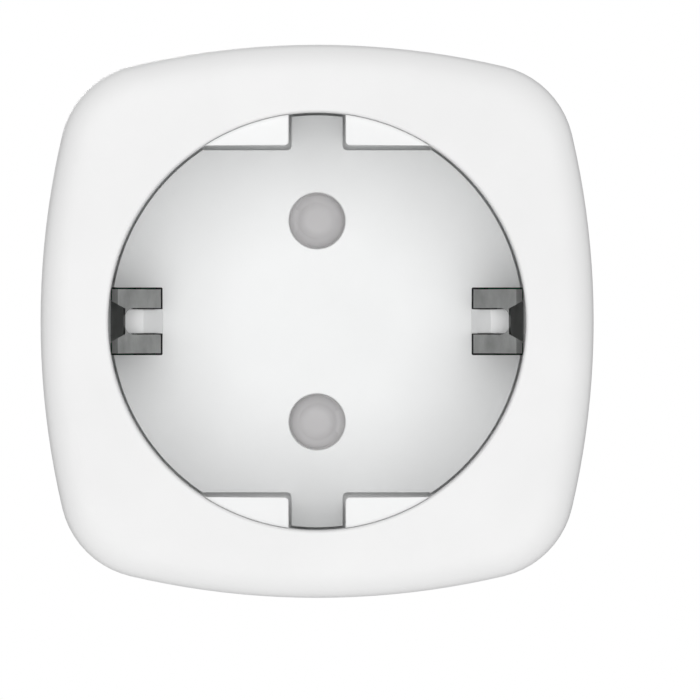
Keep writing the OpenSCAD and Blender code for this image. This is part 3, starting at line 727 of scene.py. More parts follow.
class SMARTPLUG_OT_front_shell(bpy.types.Operator):
    """Builds the front shell with its soft front edge, its bosses and its button hole"""

    bl_idname = "smartplug.front_shell"
    bl_label = "Front shell"

    def execute(self, context):
        sizes = context.scene.plug_sizes
        inner_z = FACE_Z - sizes.wall
        side, mouth = sizes.wall, sizes.well_radius
        rings = [("body", sizes.seam, SPLIT_Z), ("body", 0, SPLIT_Z + sizes.seam)]
        rings.append(("body", 0, FACE_Z - sizes.edge_height - 1 * MM))
        rings += [
            ("body", inset, FACE_Z - drop) for inset, drop in edge_steps(sizes.edge_width, sizes.edge_height)
        ]
        rings.append(("body", sizes.edge_width + 0.3 * MM, FACE_Z))
        rings.append(("round", mouth + sizes.rim_radius + 0.2 * MM, FACE_Z))
        rings += [("round", r, z) for r, z in round_edge(mouth, FACE_Z, sizes.rim_radius)]
        rings += [("round", mouth, inner_z), ("body", side + 0.8 * MM, inner_z)]
        rings += [("body", side, inner_z - 0.8 * MM), ("body", side, SPLIT_Z)]
        bm = skin(sizes, rings)

        at = SCREW_AT
        posts = four_corners(rod(BOSS_R, SPLIT_Z, inner_z + 0.5 * MM), at)
        shoulders = four_corners(rod(SHOULDER_R, FLOOR_Z, inner_z + 0.5 * MM), at)
        limit = skin(sizes, [("body", side / 2, SPLIT_Z), ("body", side / 2, inner_z + 1 * MM)], "capped")
        bosses = carve(posts, [("UNION", shoulders), ("INTERSECT", limit)])
        pilots = four_corners(rod(PILOT_R, SPLIT_Z - 1 * MM, SPLIT_Z + 14 * MM), at)
        button_r = BUTTON_R + BUTTON_GAP
        holes = merged(
            side_hole(button_r, (BUTTON[0].z + BUTTON[1].z) / 2, 0.25 * MM),
            side_hole(PIPE_R + 0.05 * MM, (PIPE[0].z + PIPE[1].z) / 2, 0.12 * MM),
        )
        bm = carve(bm, [("UNION", bosses), ("DIFFERENCE", pilots), ("DIFFERENCE", holes)])
        make_piece("front_cover", bm, shell_plastic(), ["front_shell"])
        return {"FINISHED"}


def side_hole(r, z, flare):
    """A tool for a hole through the top side, with a rounded mouth."""
    top = HALF
    profile = [(0, 0.4 * top), (r, 0.4 * top), (r, top - 2 * flare)]
    profile += [(r + 0.3 * flare, top - 0.7 * flare), (r + flare, top + 0.05 * MM), (r + flare, top + 1 * MM)]
    profile += [(0, top + 1 * MM)]
    return lathe(profile, at=(0, 0, z), turn=UPWARDS, steps=64)


class SMARTPLUG_OT_socket_insert(bpy.types.Operator):
    """Builds the socket's recess with its guide ribs, windows, pin holes and clip tongues"""

    bl_idname = "smartplug.socket_insert"
    bl_label = "Socket insert"

    def execute(self, context):
        sizes = context.scene.plug_sizes
        r, wall, top = sizes.well_radius, sizes.well_wall, INSERT_TOP
        gap_z, foot_r = FLOOR_Z - GAP_DEPTH, r + sizes.draft
        cup = lathe(
            [(0, UNDER_Z), (r + wall, UNDER_Z), (r + wall, top), (r, top), (foot_r, FLOOR_Z), (foot_r, gap_z)]
            + [(foot_r - sizes.floor_gap, gap_z), (foot_r - sizes.floor_gap, FLOOR_Z), (0, FLOOR_Z)],
            steps=144,
        )
        keeper = lathe(
            [(0, UNDER_Z + 0.5 * MM), (r + wall / 2, UNDER_Z + 0.5 * MM), (r + wall / 2, top)]
            + [(r - 0.05 * MM, top), (r - 0.05 * MM, FACE_Z), (0, FACE_Z)],
            steps=144,
        )
        ribs = carve(self.rib_bars(sizes), [("INTERSECT", keeper)])
        soften(
            ribs, 0.12 * MM, 60, 3,
            keep=lambda e: min(v.co.z for v in e.verts) > top + 0.2 * MM
            and any(v.co.xy.length < r - 0.3 * MM for v in e.verts),
        )
        lugs = self.lugs(sizes)
        half = sizes.window_width / 2
        windows = both_ends(
            soften(
                block((sizes.window_x, r + 0.02 * MM), (-half, half), (UNDER_Z - 1 * MM, FLOOR_Z + 1.5 * MM)),
                0.12 * MM, 60, 2, keep=is_upright,
            )
        )
        hole = lathe(
            [(0, UNDER_Z - 1 * MM), (HOLE_R, UNDER_Z - 1 * MM), (HOLE_R, FLOOR_Z - 0.2 * MM)]
            + [(HOLE_R + 0.06 * MM, FLOOR_Z - 0.06 * MM), (HOLE_R + 0.2 * MM, FLOOR_Z + 0.01 * MM)]
            + [(HOLE_R + 0.2 * MM, FLOOR_Z + 1 * MM), (0, FLOOR_Z + 1 * MM)],
            at=(0, PIN_Y, 0), steps=64,
        )
        boss_room = rod(BOSS_R + 0.15 * MM, UNDER_Z - 1 * MM, FLOOR_Z + 1 * MM)
        bm = carve(
            cup,
            [
                ("UNION", lugs),
                ("UNION", ribs),
                ("DIFFERENCE", self.rib_gaps(sizes)),
                ("DIFFERENCE", windows),
                ("UNION", both_ends(self.tongue(sizes))),
                ("DIFFERENCE", both_ends(hole)),
                ("DIFFERENCE", four_corners(boss_room, SCREW_AT)),
            ],
        )
        make_piece("socket_recess", bm, insert_plastic(), ["socket_insert"])
        return {"FINISHED"}

    def rib_bars(self, sizes):
        """Four bars that become the guide ribs, two above and two below, with rounded slot corners."""
        slot, y, top = sizes.rib_slot / 2, sizes.rib_y, RIB_TOP
        bar = block((slot, 12 * MM), (y, sizes.well_radius + 1 * MM), (FLOOR_Z - 0.4 * MM, top))
        upright = [
            e for e in bar.edges
            if is_upright(e)
            and max(v.co.x for v in e.verts) < slot + WELD and max(v.co.y for v in e.verts) < y + WELD
        ]
        bevel(bar, upright, 0.4 * MM, 5)
        feet = [v for v in bar.verts if v.co.z < FLOOR_Z and v.co.y < y + 0.5 * MM]
        bmesh.ops.translate(bar, verts=feet, vec=(0, sizes.draft, 0))
        toes = [v for v in bar.verts if v.co.z < FLOOR_Z and v.co.x < slot + 0.5 * MM]
        bmesh.ops.translate(bar, verts=toes, vec=(sizes.draft, 0, 0))
        return copies(bar, QUARTERS)

    def rib_gaps(self, sizes):
        """Four corner-shaped tools for the parting gap along the foot of the guide ribs."""
        near_x, near_y = sizes.rib_slot / 2 - sizes.floor_gap, sizes.rib_y - sizes.floor_gap
        far_x, far_y = sizes.rib_slot / 2 + sizes.draft, sizes.rib_y + sizes.draft
        end_x, end_y = 10.7 * MM, sizes.well_radius + 0.1 * MM
        soft, cut = 0.4 * MM, 0.12 * MM
        outline = [(near_x, end_y), (far_x, end_y), (far_x, far_y + soft), (far_x + soft, far_y)]
        outline += [(end_x, far_y), (end_x, near_y), (near_x + soft, near_y)]
        outline += [(near_x + cut, near_y + cut), (near_x, near_y + soft)]
        return copies(prism(outline, GAP_DEPTH + 0.01 * MM, at=FLOOR_Z - GAP_DEPTH), QUARTERS)

    def lugs(self, sizes):
        """Four lugs that seat on the shell's bosses."""
        inner = sizes.well_radius + sizes.well_wall - 1 * MM
        reach = SCREW_AT * math.sqrt(2) + 1.9 * MM
        lug = block((inner, reach), (-4.6 * MM, 4.6 * MM), (UNDER_Z, FLOOR_Z))
        lugs = copies(lug, [Matrix.Rotation(math.radians(a), 4, "Z") for a in (45, 135, 225, 315)])
        inset = sizes.wall + 0.15 * MM
        room = skin(sizes, [("body", inset, UNDER_Z - 1 * MM), ("body", inset, FLOOR_Z + 1 * MM)], "capped")
        return carve(lugs, [("INTERSECT", room)])

    def tongue(self, sizes):
        """The sloped rib that stands between an earth clip's prongs."""
        r = sizes.well_radius
        outline = [
            (sizes.window_x - 0.5 * MM, UNDER_Z + 0.2 * MM),
            (r + 0.5 * MM, UNDER_Z + 0.2 * MM),
            (r + 0.5 * MM, FLOOR_Z + 9.6 * MM),
            (r - 1.5 * MM, FLOOR_Z + 9.6 * MM),
            (r - 3.2 * MM, FLOOR_Z + 8.8 * MM),
            (r - 4.2 * MM, FLOOR_Z + 6.4 * MM),
            (sizes.window_x + 0.2 * MM, FLOOR_Z + 3.4 * MM),
            (sizes.window_x - 0.05 * MM, FLOOR_Z),
            (sizes.window_x - 0.5 * MM, FLOOR_Z - 0.3 * MM),
        ]
        bar = prism(outline, sizes.tongue_width, "Y")
        return soften(bar, 0.15 * MM, 50, 2, keep=lambda e: min(v.co.x for v in e.verts) > sizes.window_x)


class SMARTPLUG_OT_shutter(bpy.types.Operator):
    """Builds the shutter with a dished pad behind each pin hole"""

    bl_idname = "smartplug.shutter"
    bl_label = "Shutter"

    def execute(self, context):
        finish = context.scene.plug_finish
        z0, z1 = SHUTTER[1].z - 1.6 * MM, SHUTTER[1].z
        pad_r = SHUTTER[1].y - PIN_Y
        pad = lathe(
            [(0, z0), (pad_r, z0), (pad_r, z1 - 0.25 * MM), (pad_r - 0.25 * MM, z1), (0, z1)],
            at=(0, PIN_Y, 0), steps=72,
        )
        dish_r = HOLE_R - 0.1 * MM
        low = z1 - 0.55 * MM
        bowl = [(0, low), (dish_r * 0.35, low + 0.01 * MM), (dish_r * 0.6, low + 0.05 * MM)]
        bowl += [(dish_r * 0.66, low + 0.16 * MM), (dish_r * 0.74, low + 0.22 * MM)]
        bowl += [(dish_r * 0.9, low + 0.3 * MM), (dish_r * 0.96, low + 0.4 * MM), (dish_r, z1)]
        dish = lathe(bowl + [(dish_r, z1 + 1 * MM), (0, z1 + 1 * MM)], steps=72)
        lean = Matrix.Rotation(math.radians(7), 4, "Y")
        dish.transform(Matrix.Translation((0, PIN_Y, z1)) @ lean @ Matrix.Translation((0, 0, -z1)))
        hub = lathe(
            [(0, SHUTTER[0].z), (2.2 * MM, SHUTTER[0].z), (2.2 * MM, z0), (3.8 * MM, z0)]
            + [(3.8 * MM, z1 - 0.2 * MM), (3.6 * MM, z1), (0, z1)]
        )
        arms = block((-2 * MM, 2 * MM), (-PIN_Y, PIN_Y), (z0, z0 + 0.8 * MM))
        peg = block((0, 5 * MM), (-1 * MM, 1 * MM), (z0, z1))
        post = rod(0.5 * MM, SHUTTER[0].z, z0 + 0.2 * MM, at=(5 * MM, 0), steps=24)
        bm = carve(
            hub,
            [
                ("UNION", arms), ("UNION", both_ends(pad)), ("UNION", peg), ("UNION", post),
                ("DIFFERENCE", both_ends(dish)),
                ("DIFFERENCE", rod(1.55 * MM, SHUTTER[0].z - 1 * MM, z1 + 1 * MM)),
            ],
        )
        # Pale grey is painted shade: the shutter's white plastic darkened for the shadow deep in the pin
        # holes
        painted_shade_finish = plastic("grey_shutter_plastic", tuple(finish.shutter), rough=(0.36, 0.48), depth=0.1)
        make_piece("safety_shutter", bm, painted_shade_finish, ["shutter"], body="shutter")
        return {"FINISHED"}


def offset_line(points, distance):
    """A bent line moved sideways by a distance, with its corners mitred."""
    line = [Vector(p) for p in points]
    normals = [Vector((a.y - b.y, b.x - a.x)).normalized() for a, b in zip(line, line[1:])]
    sides = [(normals[0], normals[0])] + list(zip(normals, normals[1:])) + [(normals[-1], normals[-1])]
    return [tuple(p + (m + n) / (1 + m.dot(n)) * distance) for p, (m, n) in zip(line, sides)]


class SMARTPLUG_OT_earth_metal(bpy.types.Operator):
    """Builds the earth bracket with its forked clips, the plug's side strips and the earth sleeve"""

    bl_idname = "smartplug.earth_metal"
    bl_label = "Earth parts"

    def execute(self, context):
        sizes = context.scene.plug_sizes
        make_piece("earth_clips", self.bracket(sizes), dark_nickel(), ["earth_bracket"])
        for side, node in ((1, "earth_strip_right"), (-1, "earth_strip_left")):
            make_piece(node + "_contact", self.strip(side), bright_nickel(), [node])
        make_piece("earth_pin_sleeve", self.sleeve(), bright_nickel(), ["earth_sleeve"])
        return {"FINISHED"}

    def ribbon(self, middle, widths, offset=0.0):
        """A sheet offset from a bent line (x, z), with a row of points across it at each bend."""
        bm = bmesh.new()
        stations = offset_line(middle, offset)
        row = [bm.verts.new((stations[0][0], y, stations[0][1])) for y in widths]
        edges = [bm.edges.new(pair) for pair in zip(row, row[1:])]
        for (x0, z0), (x1, z1) in zip(stations, stations[1:]):
            made = bmesh.ops.extrude_edge_only(bm, edges=edges)
            verts = [g for g in made["geom"] if isinstance(g, bmesh.types.BMVert)]
            edges = [g for g in made["geom"] if isinstance(g, bmesh.types.BMEdge)]
            edges = [e for e in edges if e.verts[0] in verts and e.verts[1] in verts]
            bmesh.ops.translate(bm, verts=verts, vec=(x1 - x0, 0, z1 - z0))
        return bm

    def fold(self, bm, points, radius, segments=5):
        """Rounds the folds that run across a sheet at the given (x, z) points."""
        edges = [
            e for e in bm.edges
            if len(e.link_faces) == 2 and any(
                all(abs(v.co.x - x) < 1e-5 and abs(v.co.z - z) < 1e-5 for v in e.verts) for x, z in points
            )
        ]
        bevel(bm, edges, radius, segments)

    def thicken(self, bm, thickness, middle):
        """Gives a sheet its thickness towards a point on its middle line."""
        near = min(bm.faces, key=lambda f: (f.calc_center_median() - middle).length)
        if near.normal.dot(middle - near.calc_center_median()) > 0:
            bmesh.ops.reverse_faces(bm, faces=bm.faces)
        bmesh.ops.solidify(bm, geom=bm.faces[:], thickness=thickness)
        bmesh.ops.recalc_face_normals(bm, faces=bm.faces)

    def bracket(self, sizes):
        """One strip across the back with a forked clip up each side: foot, knee, and a tip that leans out."""
        half = sizes.metal / 2
        width = (BRACKET[1].y - BRACKET[0].y) / 2
        base_z = BRACKET[0].z + half
        r = sizes.well_radius
        arm_x = r - 1.9 * MM
        foot = (arm_x, FLOOR_Z + 0.5 * MM)
        knee = (sizes.window_x + 0.28 * MM, FLOOR_Z + 5.5 * MM)
        ridge = (r - 1.5 * MM, FACE_Z - 4.8 * MM)
        tip = (r - 0.62 * MM, BRACKET[1].z - 0.3 * MM)
        stations = [(0, base_z), (arm_x, base_z), foot, knee, ridge, tip]
        bm = self.ribbon(stations, (0, width), -half)
        folds = offset_line(stations, -half)
        self.fold(bm, folds[1:3], 0.8 * MM)
        self.fold(bm, folds[3:4], 0.4 * MM)
        self.fold(bm, folds[4:5], 0.3 * MM)
        bmesh.ops.recalc_face_normals(bm, faces=bm.faces)
        self.thicken(bm, sizes.metal, Vector((0, 0, base_z)))
        middle = [f for f in bm.faces for i in (0, 1) if all(abs(v.co[i]) < 1e-6 for v in f.verts)]
        bmesh.ops.delete(bm, geom=middle, context="FACES")
        for mirror in ((1, -1, 1, 1), (-1, 1, 1, 1)):
            bm = copies(bm, [Matrix(), Matrix.Diagonal(mirror)])
            bmesh.ops.remove_doubles(bm, verts=bm.verts, dist=1e-6)
        bmesh.ops.recalc_face_normals(bm, faces=bm.faces)

        slot_w, end = 1.25 * MM, ridge[0] - 0.05 * MM
        slot = block((sizes.window_x - 2 * MM, end), (-slot_w, slot_w), (FLOOR_Z + 1.5 * MM, FACE_Z))
        ends = [e for e in slot.edges if is_upright(e) and min(v.co.x for v in e.verts) > end - WELD]
        bevel(slot, ends, 0.85 * MM, 6)
        low = block((arm_x - 2 * MM, arm_x + 1 * MM), (-slot_w, slot_w), (UNDER_Z - 1 * MM, FLOOR_Z + 2 * MM))
        mouth = self.mouth(r, end, 0, FACE_Z - 8 * MM)
        lip = self.lip(self.mouth(r, end, 0.05 * MM, FACE_Z - 9 * MM), r, ridge[1] + 0.1 * MM, width)
        return carve(
            bm,
            [
                ("DIFFERENCE", both_ends(slot)), ("DIFFERENCE", both_ends(mouth)),
                ("UNION", both_ends(lip)), ("DIFFERENCE", both_ends(low)),
            ],
        )

    def mouth(self, r, end, slack, z):
        """A wedge in plan that flares from the end of a clip's slot to its tip."""
        inner, outer = end - 0.02 * MM, r + 0.4 * MM
        narrow, wide = 1.2 * MM + slack, 2.3 * MM + slack
        return prism([(inner, -narrow), (outer, -wide), (outer, wide), (inner, narrow)], 8 * MM, at=z)

    def lip(self, wedge, r, z, width):
        """The tab between a clip's prongs, which leans down and out from the end of its slot."""
        sheet = prism(
            [
                (r - 1.4 * MM, z), (r - 0.15 * MM, z - 2.3 * MM),
                (r - 0.55 * MM, z - 2.6 * MM), (r - 1.8 * MM, z - 0.3 * MM),
            ],
            2 * width, axis="Y",
        )
        return carve(wedge, [("INTERSECT", sheet)])

    def strip(self, side):
        """A side contact: a bowed leg on the neck, a leg through its wall, and a tab up to the bracket."""
        t = 0.6 * MM
        outer, inner = STRIP[1].x - t / 2, STRIP[0].x + t / 2
        top = STRIP[1].z
        turn_z = 14.4 * MM - t / 2
        stations = [(outer, STRIP[0].z), (outer + 0.12 * MM, 5 * MM), (outer + 0.12 * MM, 9 * MM)]
        stations += [(outer, turn_z), (inner, turn_z), (inner, top - 5 * MM)]
        bm = self.ribbon(stations, (-2.95 * MM, 0, 2.95 * MM), -t / 2)
        folds = offset_line(stations, -t / 2)
        self.fold(bm, folds[3:5], 0.5 * MM, 4)
        self.fold(bm, folds[1:3], 1.2 * MM, 4)
        bmesh.ops.recalc_face_normals(bm, faces=bm.faces)
        self.thicken(bm, t, Vector((inner, 0, top - 5 * MM)))
        tab = block((inner - t / 2, inner + t / 2), (-1.4 * MM, 1.4 * MM), (top - 6 * MM, top))
        bm = carve(bm, [("UNION", tab)])
        soften(bm, 0.06 * MM, 60, 1)
        if side < 0:
            bm.transform(Matrix.Rotation(math.pi, 4, "Z"))
        return bm

    def sleeve(self):
        """A rolled sleeve with a flared mouth and a tab to the side strip."""
        x, r = EARTH_X, EARTH_R
        z0, z1 = SLEEVE[0].z, SLEEVE[1].z
        profile = [(r + 0.25 * MM, z0), (r + 0.7 * MM, z0), (r + 0.7 * MM, z1 - 0.1 * MM), (r + 0.6 * MM, z1)]
        profile += [(r + 0.1 * MM, z1), (r, z1 - 0.1 * MM), (r, z0 + 0.5 * MM)]
        tube = lathe(profile, at=(x, 0, 0), steps=64)
        tab = block((x + r + 0.3 * MM, SLEEVE[1].x), (-1.5 * MM, 1.5 * MM), (z1 - 2 * MM, z1 - 1.4 * MM))
        return carve(tube, [("UNION", tab)])


class SMARTPLUG_OT_rear_housing(bpy.types.Operator):
    """Builds the rear housing: its rim, its seating face and the plug's neck"""

    bl_idname = "smartplug.rear_housing"
    bl_label = "Rear housing"

    def execute(self, context):
        sizes = context.scene.plug_sizes
        gap, lip_t = 0.15 * MM, 1.1 * MM
        side, lip = sizes.wall, sizes.wall + gap
        rings = [("body", sizes.rear_edge + 0.3 * MM, SEAT_Z)]
        rings += [
            ("body", inset, SEAT_Z + rise)
            for inset, rise in reversed(edge_steps(sizes.rear_edge, sizes.rear_edge, 6))
        ]
        rings += [("body", 0, SPLIT_Z - sizes.seam), ("body", sizes.seam, SPLIT_Z), ("body", lip, SPLIT_Z)]
        rings += [("body", lip, REAR[1].z), ("body", lip + lip_t, REAR[1].z)]
        rings += [("body", lip + lip_t, SPLIT_Z - 1 * MM), ("body", side, SPLIT_Z - 2 * MM)]
        rings += [("body", side, SEAT_Z + side + 0.6 * MM), ("body", side + 0.6 * MM, SEAT_Z + side)]
        shell = skin(sizes, rings, "capped")

        at = SCREW_AT
        bosses = four_corners(rod(BOSS_R + 0.4 * MM, SEAT_Z + 1 * MM, SPLIT_Z), at)
        limit = skin(sizes, [("body", side / 2, SEAT_Z), ("body", side / 2, SPLIT_Z)], "capped")
        bosses = carve(bosses, [("INTERSECT", limit)])
        lip_room = four_corners(rod(BOSS_R + gap, SPLIT_Z, REAR[1].z + 1 * MM), at)
        board_posts = copies(
            rod(1.3 * MM, SEAT_Z + sizes.wall - 0.2 * MM, plug_box("main_board")[0].z, at=(HALF - 5 * MM, 0)),
            [Matrix.Rotation(math.radians(a), 4, "Z") for a in (0, 90, 180, 270)],
        )
        screw_hole = lathe(
            [(0, SEAT_Z - 1 * MM), (2.65 * MM, SEAT_Z - 1 * MM), (2.65 * MM, SEAT_Z)]
            + [(2.45 * MM, SEAT_Z + 0.2 * MM), (2.45 * MM, SEAT_Z + 2.4 * MM), (1.4 * MM, SEAT_Z + 2.4 * MM)]
            + [(1.4 * MM, SPLIT_Z + 3 * MM), (0, SPLIT_Z + 3 * MM)],
            steps=56,
        )
        wall = sizes.wall
        cavity_r = sizes.neck_radius - wall - 0.9 * MM
        cavity = carve(
            rod(cavity_r, wall, SEAT_Z + wall + 0.5 * MM, steps=120),
            [("INTERSECT", self.cross(sizes, wall, 0, SEAT_Z + 2 * wall))],
        )
        pin_hole = rod(PIN_R + 0.25 * MM, -1 * MM, wall + 1 * MM, at=(0, PIN_Y))
        mouth_r = EARTH_R + 0.3 * MM
        earth_hole = lathe(
            [(0, -1 * MM), (mouth_r + 0.3 * MM, -1 * MM), (mouth_r + 0.3 * MM, 0)]
            + [(mouth_r, 0.3 * MM), (mouth_r, wall + 1 * MM), (0, wall + 1 * MM)],
            at=(EARTH_X, 0, 0), steps=56,
        )
        r, strip_w, strip_end = sizes.neck_radius, 3.05 * MM, 14.45 * MM
        strip_room = both_ends(
            block((r - 0.9 * MM, r + 1 * MM), (-strip_w, strip_w), (0.95 * MM, strip_end))
        )
        strip_pass = both_ends(block((14 * MM, r), (-strip_w, strip_w), (strip_end - 0.7 * MM, strip_end)))
        bm = carve(
            self.neck(sizes),
            [
                ("UNION", shell), ("UNION", bosses), ("UNION", board_posts),
                ("DIFFERENCE", lip_room), ("DIFFERENCE", cavity),
                ("DIFFERENCE", four_corners(screw_hole, at)),
                ("DIFFERENCE", both_ends(pin_hole)), ("DIFFERENCE", earth_hole),
                ("DIFFERENCE", strip_room), ("DIFFERENCE", strip_pass),
            ],
        )
        make_piece("rear_cover", bm, shell_plastic(), ["rear_housing"])
        return {"FINISHED"}

    def cross(self, sizes, inset, z0, z1):
        """The band between the neck's flats, with the key ribs across it."""
        wide = sizes.neck_radius + 5 * MM
        flat, key = sizes.flat_y - inset, sizes.key_width / 2 - inset
        outline = [(-wide, -flat), (-key, -flat), (-key, -wide), (key, -wide), (key, -flat), (wide, -flat)]
        outline += [(-x, -y) for x, y in outline]
        return prism(outline, z1 - z0, at=z0)

    def neck(self, sizes):
        """The round neck with two flats and two key ribs, and a soft end."""
        r, top = sizes.neck_radius, SEAT_Z + 0.5 * MM
        soft = 0.8 * MM
        profile = [(0, 0), (r - soft, 0)] + corner((r - soft, soft), soft, -90, 0, 5)[1:]
        barrel = lathe(profile + [(r, top), (0, top)], steps=144)
        bm = carve(barrel, [("INTERSECT", self.cross(sizes, 0, -1 * MM, SEAT_Z + 1 * MM))])
        return soften(
            bm, 0.35 * MM, 50, 3,
            keep=lambda e: all(
                v.co.z < top - 0.1 * MM and abs(v.co.y) > sizes.flat_y - 0.2 * MM for v in e.verts
            ),
        )


class SMARTPLUG_OT_pins(bpy.types.Operator):
    """Builds the plug's two pins"""

    bl_idname = "smartplug.pins"
    bl_label = "Plug pins"

    def execute(self, context):
        sizes = context.scene.plug_sizes
        for side, node in ((1, "line_pin"), (-1, "neutral_pin")):
            low, high = plug_box(node)
            tip = 1.9 * MM
            seat, collar = PIN_R + 0.2 * MM, (high.x - low.x) / 2
            profile = [(0, low.z)] + corner((PIN_R - tip, low.z + tip), tip, -90, 0, 10)
            profile += [(PIN_R, -0.02 * MM), (seat, 0.02 * MM), (seat, sizes.wall), (collar, sizes.wall)]
            tail_z, tail_r = sizes.wall + 1.6 * MM, 1.5 * MM
            profile += [(collar, tail_z), (tail_r, tail_z), (tail_r, high.z), (0, high.z)]
            bm = lathe(profile, at=(0, side * PIN_Y, 0), steps=72)
            make_piece(node + "_rod", bm, bright_nickel(), [node])
        return {"FINISHED"}


class SMARTPLUG_OT_screws(bpy.types.Operator):
    """Builds the housing screws and the carrier screws, with threads and recessed heads"""

    bl_idname = "smartplug.screws"
    bl_label = "Screws"

    def execute(self, context):
        zinc = metal("zinc_plate", (0.62, 0.62, 0.6), rough=(0.24, 0.4), stain=0.18)
        head_z = SCREWS[0].z
        one = self.screw(SCREW_HEAD_R, head_z, head_z + 1.8 * MM, 0.98 * MM, SCREWS[1].z, 1.0 * MM)
        bm = four_corners(one, SCREW_AT)
        make_piece("cover_screws", bm, zinc, ["housing_screws"])
        small_head = 1.8 * MM
        head_z = SMALL_SCREWS[0].z
        one = self.screw(small_head, head_z, head_z + 1.2 * MM, 0.74 * MM, SMALL_SCREWS[1].z, 0.7 * MM)
        at = SMALL_SCREWS[1].x - small_head
        bm = copies(one, [Matrix.Translation((s * at, s * at, 0)) for s in (-1, 1)])
        make_piece("carrier_screw_pair", bm, zinc, ["carrier_screws"])
        return {"FINISHED"}

    def screw(self, head_r, z0, z1, shank_r, end, pitch):
        """A pan head with a cross recess, on a ringed shank with a blunt point."""
        dome = 0.35 * head_r
        profile = [(0, z0)] + [
            (head_r * math.sin(a), z0 + dome * (1 - math.cos(a))) for a in (0.4, 0.8, 1.2, math.pi / 2)
        ]
        profile += [(head_r, z1), (shank_r * 0.86, z1)]
        turns = int((end - z1 - 1.2 * pitch) / pitch)
        for i in range(turns):
            z = z1 + 0.3 * pitch + i * pitch
            profile += [(shank_r * 0.86, z), (shank_r, z + 0.4 * pitch), (shank_r, z + 0.5 * pitch)]
            profile += [(shank_r * 0.86, z + 0.9 * pitch)]
        profile += [(shank_r * 0.86, end - 0.5 * pitch), (shank_r * 0.5, end), (0, end)]
        body = lathe(profile, steps=40)
        arm, slot = head_r * 0.62, head_r * 0.13
        cross = [block((-arm, arm), (-slot, slot), (z0 - 1 * MM, z0 + 0.55 * (z1 - z0)))]
        cross.append(block((-slot, slot), (-arm, arm), (z0 - 1 * MM, z0 + 0.55 * (z1 - z0))))
        return carve(body, [("DIFFERENCE", cross[0]), ("DIFFERENCE", cross[1])])


class SMARTPLUG_OT_button(bpy.types.Operator):
    """Builds the power button, the plunger under it and the light pipe beside it"""

    bl_idname = "smartplug.button"
    bl_label = "Power button"

    def execute(self, context):
        sizes = context.scene.plug_sizes
        z = (BUTTON[0].z + BUTTON[1].z) / 2
        low, high = BUTTON[0].y, BUTTON[1].y
        flange_r = (BUTTON[1].x - BUTTON[0].x) / 2
        flange = SHELL[1].y - sizes.wall - 0.35 * MM
        profile = [(0, low), (1.5 * MM, low), (1.5 * MM, flange - 0.8 * MM), (flange_r, flange - 0.8 * MM)]
        profile += [(flange_r, flange - 0.02 * MM), (BUTTON_R, flange)]
        profile += corner((BUTTON_R - 0.35 * MM, high - 0.35 * MM), 0.35 * MM, 0, 90, 5)
        profile += [(BUTTON_R * 0.8, high - 0.08 * MM), (BUTTON_R * 0.55, high - 0.2 * MM)]
        profile += [(0, high - 0.28 * MM)]
        cap = lathe(profile, at=(0, 0, z), turn=UPWARDS, steps=96)
        make_piece("power_button_cap", cap, shell_plastic(), ["power_button"], body="button")
        pin_low, pin_high = PLUNGER[0].y, PLUNGER[1].y
        r = (PLUNGER[1].x - PLUNGER[0].x) / 2
        tip = lathe(
            [(0, pin_low), (r, pin_low), (r, pin_high - 0.25 * MM), (r - 0.25 * MM, pin_high), (0, pin_high)],
            at=(0, 0, z), turn=UPWARDS, steps=48,
        )
        make_piece("switch_stem", tip, switch_plastic(), ["switch_plunger"], body="plunger")
        z = (PIPE[0].z + PIPE[1].z) / 2
        low, high = PIPE[0].y, PIPE[1].y
        collar = high - sizes.wall - 0.2 * MM
        profile = [(0, low), (PIPE_R, low), (PIPE_R, collar - 0.8 * MM), (1.6 * MM, collar - 0.8 * MM)]
        profile += [(1.6 * MM, collar), (PIPE_R, collar)]
        profile += corner((PIPE_R - 0.2 * MM, high - 0.25 * MM), 0.2 * MM, 0, 90, 4) + [(0, high)]
        lens = lathe(profile, at=(0, 0, z), turn=UPWARDS, steps=48)
        make_piece("light_window", lens, clear_plastic("clear_light_pipe"), ["light_pipe"])
        return {"FINISHED"}


